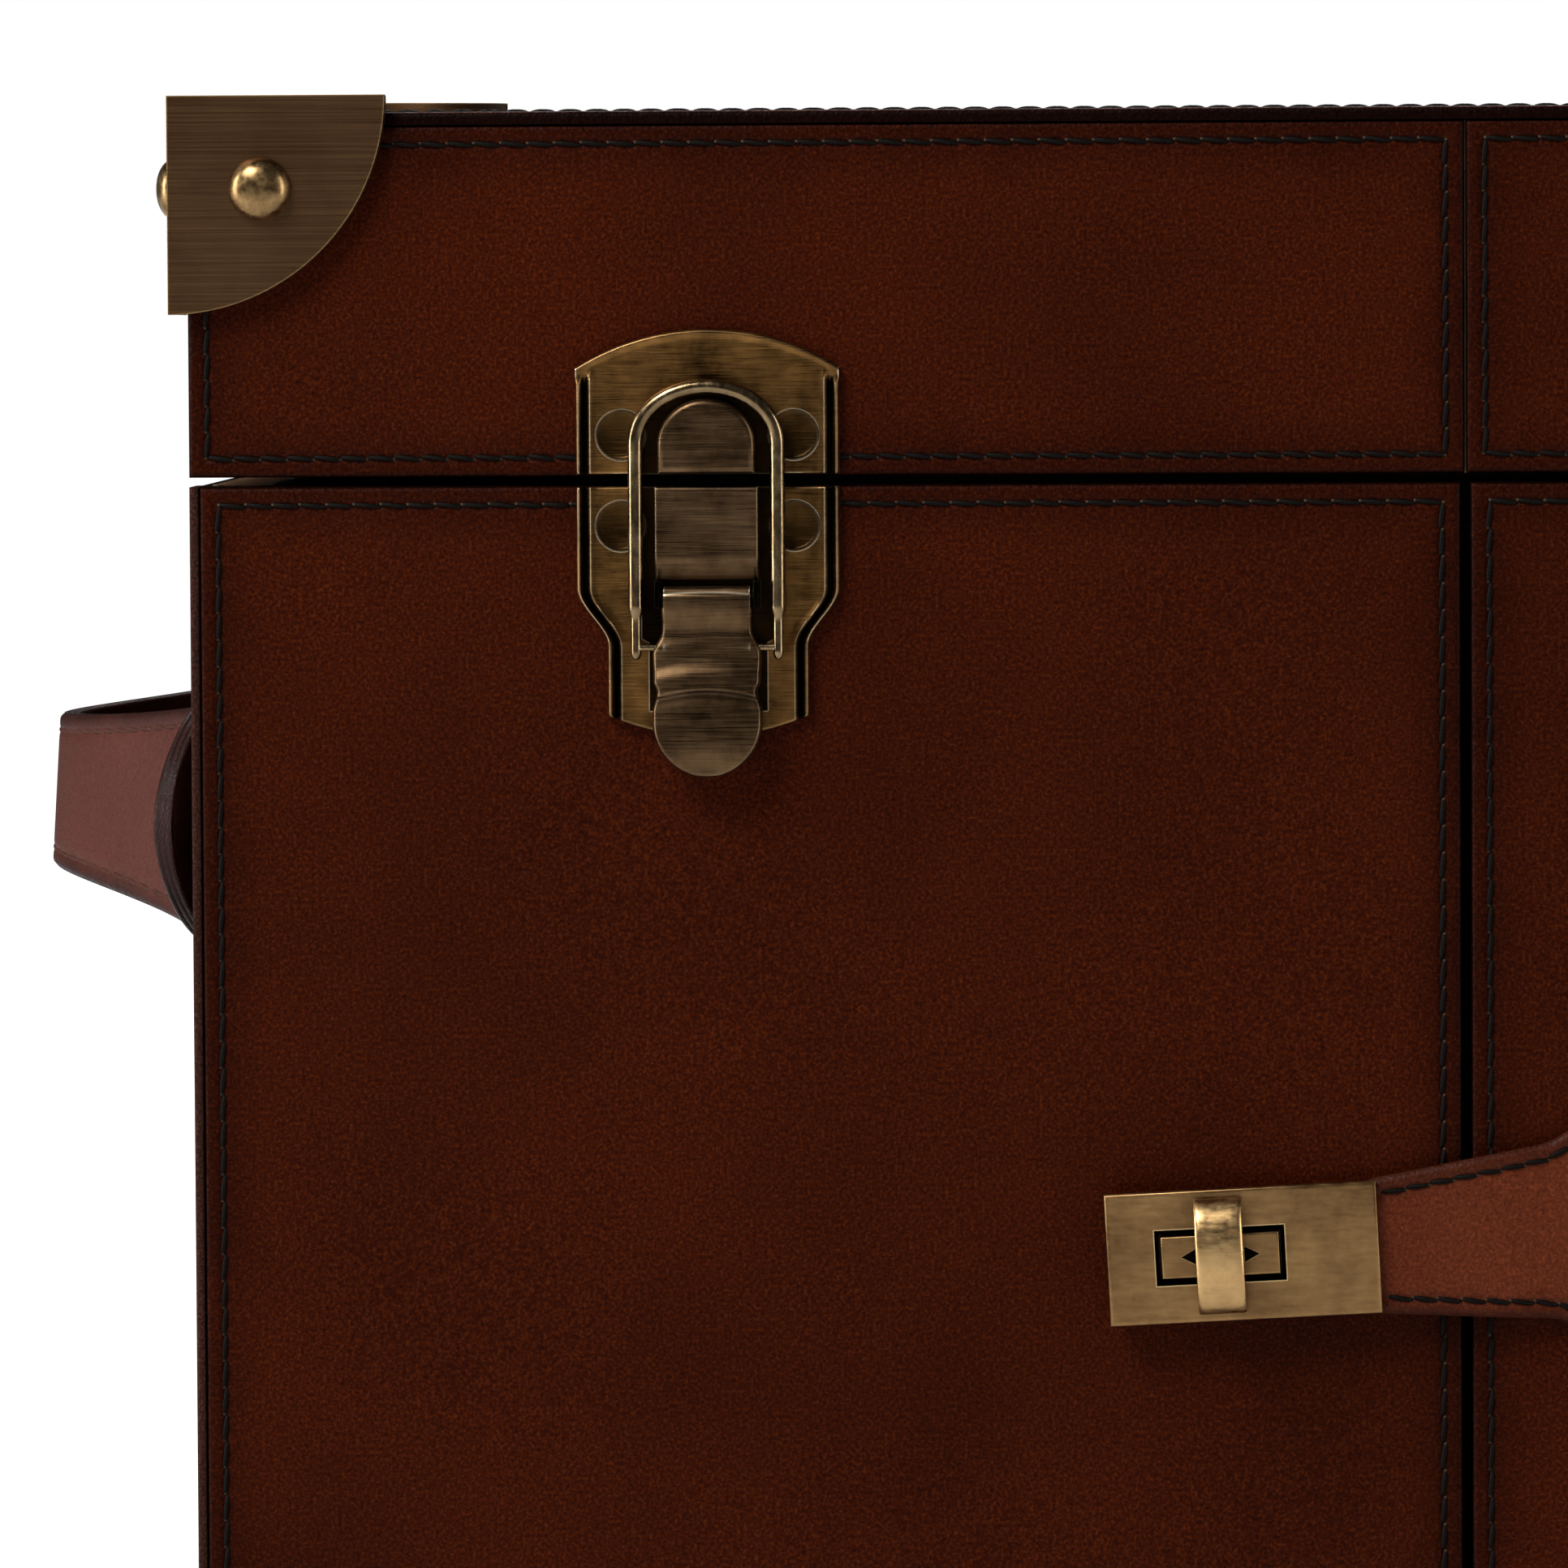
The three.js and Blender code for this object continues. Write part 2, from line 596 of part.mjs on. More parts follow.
function closure() {
  const baseFront = -(airGap + turnBase.thickness);
  const strapBack = baseFront - airGap;
  const strapFront = strapBack - strapThickness;
  const plateBack = strapFront - airGap;
  const bossFront = plateBack - plateThickness - turnBoss.proud;
  const place = new THREE.Group();
  place.position.set(-(doorGap / 2 + turnlockOffset), front, seamZ - strapDrop);
  place.rotation.y = -strapTilt;
  part.add(place);

  const bossDepth = baseFront + bite - bossFront;
  const bossEnd = turnBoss.length / 2;
  const socket = [bossFront - 1, bossFront + knobStemLength];
  const base = formed(
    [
      standing(oblong(turnBase.length, turnBase.width), -airGap, turnBase.thickness),
      standing(rectangle(-bossEnd, bossEnd, turnBoss.width), baseFront + bite, bossDepth),
    ],
    [rod("y", knobStemRadius + pivotClearance, socket, [0, 0])],
  );
  add("turnlock_base", base, brass, place);

  const knobBack = bossFront - airGap;
  const arch = new THREE.Shape();
  const halfLength = knobLength / 2;
  arch.moveTo(-halfLength, 0);
  arch.lineTo(halfLength, 0);
  const [pullAlong, pullOut] = [halfLength * knobPull.along, knobProud * knobPull.out];
  arch.quadraticCurveTo(pullAlong, pullOut, 0, knobProud);
  arch.quadraticCurveTo(-pullAlong, pullOut, -halfLength, 0);
  const bar = new THREE.ExtrudeGeometry(arch, { depth: knobWidth, bevelEnabled: false });
  // The arch's length turns up to Z and its rise points forward.
  bar.translate(0, 0, -knobWidth / 2);
  const upright = new THREE.Matrix4().makeBasis(unitZ, unitY.clone().negate(), unitX);
  bar.applyMatrix4(upright).translate(0, knobBack, 0);
  const stemReach = [knobBack - 0.5, knobBack + knobStemLength - airGap];
  const stem = rod("y", knobStemRadius, stemReach, [0, 0]);
  add("turn_knob", formed([bar, stem]), brass, place);

  const slotEnd = bossEnd + slotClearance;
  const slotWidth = turnBoss.width + 2 * slotClearance;
  const [plateLeft, plateRight] = [plateShift - plateLength / 2, plateShift + plateLength / 2];
  const plate = rectangle(plateLeft, plateRight, plateWidth);
  plate.holes.push(rectangle(-slotEnd, slotEnd, slotWidth));
  add("strap_plate", standing(plate, plateBack, plateThickness), brass, place);

  const fold = plateLeft + strapLength;
  const strap = new THREE.Shape();
  strap.moveTo(plateLeft + airGap, -strapNarrow / 2);
  strap.lineTo(plateRight, -strapNarrow / 2);
  strap.lineTo(fold, -strapWide / 2);
  strap.lineTo(fold, strapWide / 2);
  strap.lineTo(plateRight, strapNarrow / 2);
  strap.lineTo(plateLeft + airGap, strapNarrow / 2);
  strap.holes.push(rectangle(-slotEnd - airGap, slotEnd + airGap, slotWidth + 2 * airGap));
  add("closure_strap", standing(strap, strapBack, strapThickness), tan, place);

  const pad = new THREE.Shape();
  const padX = fold + padReach;
  const join = Math.asin(strapWide / 2 / padRadius);
  pad.moveTo(fold + airGap, strapWide / 2);
  pad.lineTo(fold + airGap, -strapWide / 2);
  pad.absarc(padX, 0, padRadius, join - Math.PI, Math.PI - join, false);
  add("strap_pad", standing(pad, -airGap, strapThickness), tan, place);
}

// ---- Side handles ----
// Drawn for the right side, with x = 0 on the side leather and y = z = 0 at the handle's middle.
// A band of leather that widens from the grip to a round tab at each end. A rivet holds each tab on
// a washer, and the tab's tip lifts off the case again.
function handle() {
  const tab = handleSpan / 2;
  const tip = tab + tabRadius;
  const seat = airGap + washerThickness + handleThickness / 2;
  const crest = handleReach - handleThickness / 2 - seat;
  const rise = (y) => {
    const t = Math.abs(y) / tab;
    if (t < 1) return seat + crest * (1 - t ** 2) ** 1.5;
    return seat + tabLift * ((Math.abs(y) - tab) / tabRadius) ** 2;
  };
  const steps = 40;
  const line = Array.from({ length: steps + 1 }, (_, i) => {
    const y = tip * ((2 * i) / steps - 1);
    return new THREE.Vector2(rise(y), y);
  });
  const offset = (i, distance) => {
    const before = line[Math.max(i - 1, 0)];
    const after = line[Math.min(i + 1, steps)];
    const along = after.clone().sub(before).normalize();
    return new THREE.Vector2(line[i].x + along.y * distance, line[i].y - along.x * distance);
  };
  const outside = line.map((_, i) => offset(i, handleThickness / 2));
  const inside = line.map((_, i) => offset(i, -handleThickness / 2)).reverse();
  const section = new THREE.Shape([...outside, ...inside]);
  const band = new THREE.ExtrudeGeometry(section, { depth: 2 * tabRadius, bevelEnabled: false });
  band.translate(0, 0, -tabRadius);

  const outline = new THREE.Shape();
  outline.moveTo(-tab, -tabRadius);
  outline.quadraticCurveTo(0, tabRadius - handleWidth, tab, -tabRadius);
  outline.absarc(tab, 0, tabRadius, -Math.PI / 2, Math.PI / 2, false);
  outline.quadraticCurveTo(0, handleWidth - tabRadius, -tab, tabRadius);
  outline.absarc(-tab, 0, tabRadius, Math.PI / 2, (3 * Math.PI) / 2, false);
  const settings = { depth: 2 * handleReach, bevelEnabled: false, curveSegments: 12 };
  const blank = new THREE.ExtrudeGeometry(outline, settings).applyMatrix4(faceTurns.x);
  let solid = solidOf(band).intersect(solidOf(blank));
  for (const side of [-1, 1]) {
    const rivet = rivetHead(rivetRadius, rivetHeight, handleThickness / 2).applyMatrix4(faceTurns.x);
    solid = solid.add(solidOf(rivet.translate(seat + handleThickness / 2, side * tab, 0)));
    solid = solid.add(solidOf(rod("x", washerRadius, [airGap, seat], [side * tab, 0], 20)));
  }
  return geometryOf(solid);
}

function handles() {
  for (const [name, side] of Object.entries(sides)) {
    const mesh = add(`handle_${name}`, handle(), grip);
    mesh.position.set(side * halfWidth, 0, lidTop - handleDrop);
    mesh.scale.x = side;
  }
}

carcass();
lid();
for (const [name, side] of Object.entries(sides)) door(name, side);
hinges();
brackets();
latches();
closure();
handles();

// The origin is under the middle of everything.
const bounds = new THREE.Box3().setFromObject(part);
part.position.y = -(bounds.min.y + bounds.max.y) / 2;

export default part;
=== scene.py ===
"""A leather-covered flight case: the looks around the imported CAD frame. Metres, +Z up, the doors face -Y."""
import math
import bpy
from mathutils import Matrix, Vector, noise


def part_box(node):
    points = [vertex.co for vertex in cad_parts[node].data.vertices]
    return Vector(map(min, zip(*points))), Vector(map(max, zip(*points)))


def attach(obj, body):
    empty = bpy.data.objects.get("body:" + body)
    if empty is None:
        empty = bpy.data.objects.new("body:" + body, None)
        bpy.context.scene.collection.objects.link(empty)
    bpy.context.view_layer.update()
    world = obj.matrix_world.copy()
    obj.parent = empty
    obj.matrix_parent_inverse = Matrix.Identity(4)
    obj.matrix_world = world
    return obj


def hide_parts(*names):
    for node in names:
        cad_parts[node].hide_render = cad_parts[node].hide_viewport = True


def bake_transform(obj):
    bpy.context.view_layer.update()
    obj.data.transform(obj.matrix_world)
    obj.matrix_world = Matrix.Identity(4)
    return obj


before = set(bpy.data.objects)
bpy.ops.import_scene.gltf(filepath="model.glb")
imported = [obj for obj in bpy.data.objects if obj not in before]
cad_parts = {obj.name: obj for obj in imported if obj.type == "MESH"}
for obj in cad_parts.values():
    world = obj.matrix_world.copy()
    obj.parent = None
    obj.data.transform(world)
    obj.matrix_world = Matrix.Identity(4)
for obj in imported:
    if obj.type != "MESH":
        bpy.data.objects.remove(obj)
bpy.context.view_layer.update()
scene = bpy.context.scene
MM = 0.001
SIDES = {"left": -1, "right": 1}
X, Y, Z = Vector((1, 0, 0)), Vector((0, 1, 0)), Vector((0, 0, 1))


# ---- Places read from the frame, in millimetres ----
def box_mm(node):
    """A node's low and high corners."""
    low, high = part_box(node)
    return low / MM, high / MM


FRONT = box_mm("door_leather_left")[0].y
LID_TOP = box_mm("lid_top_leather")[1].z
SEAM = (box_mm("lid_front_leather_left")[0].z + box_mm("door_leather_left")[1].z) / 2
HALF_WIDTH = box_mm("door_leather_right")[1].x


# ---- Camera ----
CAMERA_DISTANCE = 1500  # from the doors' leather, in millimetres like CAMERA_HEIGHT
CAMERA_HEIGHT = LID_TOP - 9.3
LENS, SENSOR = 252.1, 36
LOOK_LEFT, LOOK_DOWN, ROLL = (math.radians(a) for a in (3.56, 3.16, -0.33))

camera_data = bpy.data.cameras.new("camera")
camera_data.sensor_width = SENSOR
camera_data.lens = LENS
camera = bpy.data.objects.new("camera", camera_data)
scene.collection.objects.link(camera)
camera.location = Vector((0, FRONT - CAMERA_DISTANCE, CAMERA_HEIGHT)) * MM
aim = Matrix.Rotation(LOOK_LEFT, 3, "Z") @ Matrix.Rotation(math.pi / 2 - LOOK_DOWN, 3, "X")
camera.rotation_euler = (aim @ Matrix.Rotation(ROLL, 3, "Z")).to_euler()
scene.camera = camera


# ---- Light ----
LIT_MIDDLE = Vector((0, 0, SEAM * MM))
AREA_LIGHTS = {  # place and size in metres, power in watts
    "key": ((-0.9, -1.0, 1.5), (0.8, 0.6), 30),
    "left_strip": ((-1.5, -0.35, 0.35), (0.3, 1.2), 16),
    "right_strip": ((1.4, -0.6, 0.5), (0.3, 1.2), 8),
    "back_top": ((0.1, 0.9, 1.3), (1.2, 0.6), 14),
}
for light_name, (place, size, power) in AREA_LIGHTS.items():
    light_data = bpy.data.lights.new(light_name, "AREA")
    light_data.shape = "RECTANGLE"
    light_data.size, light_data.size_y = size
    light_data.energy = power
    light = bpy.data.objects.new(light_name, light_data)
    scene.collection.objects.link(light)
    light.location = place
    light.rotation_euler = (LIT_MIDDLE - light.location).to_track_quat("-Z", "Y").to_euler()

world = bpy.data.worlds.new("studio")
scene.world = world
world.use_nodes = True
world_nodes = world.node_tree.nodes
world_links = world.node_tree.links
lit = world_nodes["Background"]
lit.inputs["Color"].default_value = (1, 1, 1, 1)
lit.inputs["Strength"].default_value = 0.07
seen = world_nodes.new("ShaderNodeBackground")
seen.inputs["Color"].default_value = (1, 1, 1, 1)
seen.inputs["Strength"].default_value = 1.0
ray = world_nodes.new("ShaderNodeLightPath")
mix = world_nodes.new("ShaderNodeMixShader")
world_links.new(ray.outputs["Is Camera Ray"], mix.inputs[0])
world_links.new(lit.outputs[0], mix.inputs[1])
world_links.new(seen.outputs[0], mix.inputs[2])
world_links.new(mix.outputs[0], world_nodes["World Output"].inputs["Surface"])
scene.view_settings.view_transform = "Standard"


# ---- Materials ----
class Surface:
    """A principled material with short calls for its nodes. Coordinates are the piece's own, in metres."""

    def __init__(self, name, roughness=0.5, metallic=0.0, **constants):
        self.material = bpy.data.materials.new(name)
        self.material.use_nodes = True
        self.nodes = self.material.node_tree.nodes
        self.links = self.material.node_tree.links
        self.shader = self.nodes["Principled BSDF"]
        self.shader.inputs["Roughness"].default_value = roughness
        self.shader.inputs["Metallic"].default_value = metallic
        for socket, value in constants.items():
            self.shader.inputs[socket.replace("_", " ")].default_value = value
        self.place = self.nodes.new("ShaderNodeTexCoord").outputs["Object"]

    def stretched(self, scale):
        node = self.nodes.new("ShaderNodeMapping")
        node.inputs["Scale"].default_value = scale
        self.links.new(self.place, node.inputs["Vector"])
        return node.outputs["Vector"]

    def noise(self, scale, detail=3.0, roughness=0.55, vector=None):
        node = self.nodes.new("ShaderNodeTexNoise")
        node.inputs["Scale"].default_value = scale
        node.inputs["Detail"].default_value = detail
        node.inputs["Roughness"].default_value = roughness
        self.links.new(vector or self.place, node.inputs["Vector"])
        return node.outputs["Fac"]

    def cells(self, scale):
        node = self.nodes.new("ShaderNodeTexVoronoi")
        node.inputs["Scale"].default_value = scale
        self.links.new(self.place, node.inputs["Vector"])
        return node.outputs["Distance"]

    def ramp(self, value, *stops):
        node = self.nodes.new("ShaderNodeValToRGB")
        ramp = node.color_ramp
        while len(ramp.elements) < len(stops):
            ramp.elements.new(0.5)
        for element, (position, colour) in zip(ramp.elements, stops):
            element.position = position
            grey = isinstance(colour, (int, float))
            element.color = (colour, colour, colour, 1) if grey else (*colour, 1)
        self.links.new(value, node.inputs["Fac"])
        return node.outputs["Color"]

    def blend(self, factor, first, second, mode="MIX"):
        node = self.nodes.new("ShaderNodeMix")
        node.data_type = "RGBA"
        node.blend_type = mode
        self.feed(node.inputs[0], factor)
        self.feed(node.inputs[6], first)
        self.feed(node.inputs[7], second)
        return node.outputs[2]

    def feed(self, socket, value):
        if isinstance(value, bpy.types.NodeSocket):
            self.links.new(value, socket)
        elif isinstance(value, tuple):
            socket.default_value = (*value, 1)
        else:
            socket.default_value = value

    def maths(self, operation, first, second=0.0):
        node = self.nodes.new("ShaderNodeMath")
        node.operation = operation
        self.feed(node.inputs[0], first)
        self.feed(node.inputs[1], second)
        return node.outputs[0]

    def attribute(self, name):
        node = self.nodes.new("ShaderNodeAttribute")
        node.attribute_name = name
        return node.outputs["Fac"]

    def worn_edges(self, radius):
        """1 on convex and concave edges and 0 on flats, from how far a bevelled normal turns."""
        sharpness = 6.0
        bevel = self.nodes.new("ShaderNodeBevel")
        bevel.samples = 6
        bevel.inputs["Radius"].default_value = radius
        geometry = self.nodes.new("ShaderNodeNewGeometry")
        dot = self.nodes.new("ShaderNodeVectorMath")
        dot.operation = "DOT_PRODUCT"
        self.links.new(bevel.outputs[0], dot.inputs[0])
        self.links.new(geometry.outputs["Normal"], dot.inputs[1])
        turned = self.maths("SUBTRACT", 1.0, dot.outputs["Value"])
        scaled = self.maths("MULTIPLY", turned, sharpness)
        return self.maths("MINIMUM", scaled, 1.0)

    def bump(self, height, strength, distance):
        node = self.nodes.new("ShaderNodeBump")
        node.inputs["Strength"].default_value = strength
        node.inputs["Distance"].default_value = distance
        self.links.new(height, node.inputs["Height"])
        before = self.shader.inputs["Normal"]
        if before.is_linked:
            self.links.new(before.links[0].from_socket, node.inputs["Normal"])
        self.links.new(node.outputs["Normal"], self.shader.inputs["Normal"])

    def colour(self, value):
        self.feed(self.shader.inputs["Base Color"], value)

    def rough(self, value):
        self.feed(self.shader.inputs["Roughness"], value)


def leather_surface(name, dark, middle_tone, light, grain=1900, fleck=2000, edge=None, gloss=0.035):
    """Grained hide: fine flecks over soft clouds, darker where the piece's edge attribute is near 0."""
    s = Surface(name, roughness=0.45, Specular_IOR_Level=gloss)
    flecks = s.ramp(s.noise(fleck, 4, 0.7), (0.32, dark), (0.52, middle_tone), (0.72, light))
    clouds = s.ramp(s.noise(24, 4, 0.6), (0.32, 0.80), (0.68, 1.14))
    drift = s.ramp(s.noise(7, 2, 0.5), (0.35, 0.90), (0.65, 1.08))
    colour = s.blend(1.0, s.blend(1.0, flecks, clouds, "MULTIPLY"), drift, "MULTIPLY")
    if edge:
        ragged = s.maths("ADD", s.attribute("edge"), s.maths("MULTIPLY", s.noise(90, 3), 0.5))
        near = s.ramp(ragged, (0.05, 0.25 * edge), (0.2, edge), (0.85, 1.0))
        colour = s.blend(1.0, colour, near, "MULTIPLY")
    s.colour(colour)
    s.rough(s.ramp(s.noise(fleck * 0.7, 2), (0.3, 0.36), (0.7, 0.56)))
    s.bump(s.cells(grain), 0.45, 0.13 * MM)
    s.bump(s.noise(700, 4), 0.35, 0.2 * MM)
    return s.material


def brass_surface(name, dark, light, bright, streaks, roughness, patina, wear):
    """Aged brass: brushed streaks, a clouded patina, rubbed edges and painted shade from an attribute."""
    s = Surface(name, roughness=roughness, metallic=1.0)
    brushed = s.noise(1.0, 4, 0.6, s.stretched(streaks))
    clouds = s.noise(patina, 5, 0.65)
    mixed = s.maths("ADD", s.maths("MULTIPLY", brushed, 0.3), s.maths("MULTIPLY", clouds, 0.7))
    tone = s.ramp(mixed, (0.35, dark), (0.68, light))
    tone = s.blend(s.worn_edges(wear * MM), tone, bright)
    # Painted shade: an attribute darkens the colour in grooves, wells, slot walls and hidden pins. It also
    # carries the flat rivets' darker tone.
    soot = s.ramp(s.attribute("soot"), (0.0, 1.0), (1.0, 0.015))
    s.colour(s.blend(1.0, tone, soot, "MULTIPLY"))
    s.rough(s.ramp(brushed, (0.3, roughness - 0.08), (0.7, roughness + 0.14)))
    s.bump(brushed, 0.22, 0.05 * MM)
    s.bump(s.noise(1400, 3), 0.08, 0.05 * MM)
    return s.material


def thread_surface(name, colour, tip):
    """Twisted thread with a painted glint at the end of each stitch, where the tip attribute nears 1."""
    s = Surface(name, roughness=0.55, Specular_IOR_Level=0.06)
    twist = s.noise(3200, 2)
    base = s.ramp(twist, (0.35, colour), (0.75, tuple(2.2 * c for c in colour)))
    s.colour(s.blend(s.ramp(s.attribute("tip"), (0.75, 0.0), (1.0, 0.6)), base, tip))
    s.bump(twist, 0.5, 0.1 * MM)
    return s.material


def wood_surface():
    """Raw plywood with level streaks."""
    s = Surface("plywood", roughness=0.7)
    rings = s.noise(1.0, 4, 0.6, s.stretched((18, 18, 260)))
    s.colour(s.ramp(rings, (0.3, (0.30, 0.17, 0.085)), (0.7, (0.52, 0.34, 0.19))))
    s.bump(rings, 0.2, 0.1 * MM)
    return s.material


def cloth_surface():
    """Brown cloth with a plain weave."""
    s = Surface("lining_cloth", roughness=0.95, Sheen_Weight=0.35)
    warp = s.noise(1.0, 2, 0.5, s.stretched((2600, 2600, 500)))
    weft = s.noise(1.0, 2, 0.5, s.stretched((500, 500, 2600)))
    weave = s.maths("MAXIMUM", warp, weft)
    s.colour(s.ramp(weave, (0.4, (0.10, 0.06, 0.035)), (0.75, (0.23, 0.155, 0.10))))
    s.bump(weave, 0.5, 0.15 * MM)
    return s.material


HIDE = leather_surface("case_hide", (0.014, 0.0015, 0.0003), (0.039, 0.0050, 0.0007),
                       (0.092, 0.0165, 0.0030), edge=0.5)
STRAP_HIDE = leather_surface("strap_hide", (0.062, 0.0105, 0.0035), (0.107, 0.0205, 0.0068),
                             (0.185, 0.040, 0.014), edge=0.35, gloss=0.08)
HANDLE_HIDE = leather_surface("handle_hide", (0.060, 0.0165, 0.0105), (0.074, 0.0205, 0.0135),
                              (0.090, 0.0265, 0.018), grain=3400, fleck=1400, edge=0.16, gloss=0.12)
EDGE_HIDE = leather_surface("burnished_edge", (0.010, 0.003, 0.0015), (0.035, 0.012, 0.008),
                            (0.08, 0.035, 0.025), fleck=2500)
# Each thread's second colour is its painted glint at the stitch ends.
THREAD = thread_surface("waxed_thread", (0.0032, 0.0024, 0.0018), (0.13, 0.095, 0.06))
HANDLE_THREAD = thread_surface("brown_thread", (0.045, 0.018, 0.013), (0.05, 0.022, 0.016))
BRACKET = brass_surface("bracket_brass", (0.088, 0.043, 0.020), (0.126, 0.067, 0.032),
                        (0.50, 0.32, 0.13), (30, 30, 3800), 0.42, 60, 0.4)
LATCH = brass_surface("latch_brass", (0.030, 0.014, 0.005), (0.360, 0.180, 0.052),
                      (0.95, 0.76, 0.50), (170, 170, 5200), 0.34, 85, 0.32)
LEVER = brass_surface("lever_brass", (0.034, 0.018, 0.008), (0.190, 0.112, 0.055),
                      (0.80, 0.64, 0.44), (120, 120, 5200), 0.32, 110, 0.32)
WIRE = brass_surface("wire_brass", (0.13, 0.085, 0.042), (0.34, 0.235, 0.125),
                     (0.70, 0.56, 0.36), (900, 900, 300), 0.20, 260, 0.3)
TURNLOCK = brass_surface("turnlock_brass", (0.19, 0.10, 0.040), (0.42, 0.25, 0.102),
                         (0.85, 0.62, 0.30), (300, 300, 1500), 0.36, 110, 0.14)
KNOB_BRASS = brass_surface("knob_brass", (0.50, 0.30, 0.125), (0.72, 0.47, 0.21),
                           (1.0, 0.80, 0.45), (500, 500, 1500), 0.30, 240, 0.3)
RIVET = brass_surface("rivet_brass", (0.13, 0.072, 0.028), (0.42, 0.27, 0.12),
                      (0.90, 0.68, 0.36), (900, 900, 900), 0.30, 420, 0.2)
HINGE = brass_surface("hinge_brass", (0.12, 0.075, 0.035), (0.26, 0.17, 0.085),
                      (0.50, 0.36, 0.20), (60, 60, 1800), 0.4, 160, 0.2)
PLYWOOD = wood_surface()
CLOTH = cloth_surface()


# ---- Mesh helpers ----
def spaced(low_end, high_end, count):
    """count + 1 evenly spaced values."""
    return [low_end + (high_end - low_end) * i / count for i in range(count + 1)]


def mirrored(ends, inner):
    """Places from -1 to 1 across a plate: the given ones, even ones between them and their mirror images."""
    return ends + spaced(ends[-1], -ends[-1], inner)[1:-1] + [-e for e in reversed(ends)]


def bell(distance, at, width):
    """A smooth bump: 1 at a place and 0 well away from it."""
    return math.exp(-(((distance - at) / width) ** 2))


def eased(stops, at):
    """A value read from [place, value] stops in falling order of place, eased from each to the next."""
    if at >= stops[0][0]:
        return stops[0][1]
    for (p, v), (q, w) in zip(stops, stops[1:]):
        if at >= q:
            t = (p - at) / (p - q)
            return v + (w - v) * (3 * t * t - 2 * t**3)
    return stops[-1][1]


class Mould:
    """Collects vertices in millimetres, faces and float attributes before they become one mesh."""

    def __init__(self):
        self.points, self.faces, self.marks = [], [], {}

    def add(self, points, faces, **marks):
        """Each mark is one number for all the points or a list with a number for each."""
        first = len(self.points)
        self.points.extend(points)
        self.faces.extend(tuple(first + i for i in face) for face in faces)
        for key, values in marks.items():
            filled = self.marks.setdefault(key, [])
            filled.extend([0.0] * (first - len(filled)))
            filled.extend(values if isinstance(values, list) else [values] * len(points))

    def finish(self, name, material, body, slot, replaced=(), flat_angle=40):
        """The mesh as one piece. It rides on the body; with None it is not attached here."""
        mesh = bpy.data.meshes.new(name)
        mesh.from_pydata([tuple(p * MM) for p in self.points], [], self.faces)
        mesh.validate()
        for key, filled in self.marks.items():
            filled.extend([0.0] * (len(self.points) - len(filled)))
            mesh.attributes.new(key, "FLOAT", "POINT").data.foreach_set("value", filled)
        obj = bpy.data.objects.new(name, mesh)
        scene.collection.objects.link(obj)
        obj.data.materials.append(material)
        mesh.shade_smooth()
        mesh.set_sharp_from_angle(angle=math.radians(flat_angle))
        if replaced:
            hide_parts(*replaced)
        if body:
            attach(obj, body)
        return obj


def joined(near, far):
    """Quads between two loops of equally many vertex numbers."""
    return [(a, b, d, c) for a, b, c, d in zip(near, near[1:] + near[:1], far, far[1:] + far[:1])]


def sweep_rings(rings):
    """Faces that join rings of equally many points, with a cap on each end."""
    count = len(rings[0])
    points = [p for ring in rings for p in ring]
    loops = [list(range(i, i + count)) for i in range(0, len(points), count)]
    faces = [face for near, far in zip(loops, loops[1:]) for face in joined(near, far)]
    faces.append(tuple(reversed(loops[0])))
    faces.append(tuple(loops[-1]))
    return points, faces


def tube(path, radii, sides=12, up=Y):
    """A round bar along a path, which must not run along up."""
    rings = []
    for i, at in enumerate(path):
        along = (path[min(i + 1, len(path) - 1)] - path[max(i - 1, 0)]).normalized()
        across = along.cross(up).normalized()
        other = across.cross(along).normalized()
        radius = radii[i] if isinstance(radii, list) else radii
        ring = []
        for j in range(sides):
            a = 2 * math.pi * j / sides
            ring.append(at + radius * (math.cos(a) * across + math.sin(a) * other))
        rings.append(ring)
    return sweep_rings(rings)


def lathe(profile, at, axis, segments=40):
    """A turned shape from [radius, height] pairs along an axis. Its first and last points lie on the axis."""
    side = axis.cross(Z if abs(axis.z) < 0.9 else X).normalized()
    other = axis.cross(side)
    points = [at + axis * profile[0][1]]
    for radius, height in profile[1:-1]:
        for j in range(segments):
            a = 2 * math.pi * j / segments
            points.append(at + axis * height + radius * (math.cos(a) * side + math.sin(a) * other))
    points.append(at + axis * profile[-1][1])
    rows = len(profile) - 2
    faces = []
    for j in range(segments):
        k = (j + 1) % segments
        faces.append((0, 1 + k, 1 + j))
        for i in range(rows - 1):
            a, b = 1 + i * segments, 1 + (i + 1) * segments
            faces.append((a + j, a + k, b + k, b + j))
        last = 1 + (rows - 1) * segments
        faces.append((last + j, last + k, len(points) - 1))
    return points, faces


# ---- Leather panels and their stitching ----
STITCH_PITCH, STITCH_INSET, THREAD_RADIUS = 3.7, 2.6, 0.36
SWELL_REACH, SHADE_REACH = 12, 14  # how far from an edge the cushion and the colour are full
SWELL_SCALE = 0.022
BURNISHED = -0.35  # the edge attribute on cut edges, which the leather's colour darkens most
EDGE_STEPS = [0, 0.1, 0.3, 0.6, 0.95, 1.35, 1.75, 2.1, 2.35, 2.6, 2.85, 3.1, 3.5, 4.1, 5.2, 7.0]


def ticks(length):
    """Places along an edge: close together near both ends and about 7 mm apart between them."""
    fine = EDGE_STEPS[-1]
    inner = spaced(fine, length - fine, max(1, round((length - 2 * fine) / 7)))[1:-1]
    return EDGE_STEPS + inner + [length - t for t in reversed(EDGE_STEPS)]


def grid_faces(rows, columns):
    """Quads over a grid of points that was filled row by row."""
    return [
        (i * columns + j, i * columns + j + 1, (i + 1) * columns + j + 1, (i + 1) * columns + j)
        for i in range(rows - 1)
        for j in range(columns - 1)
    ]


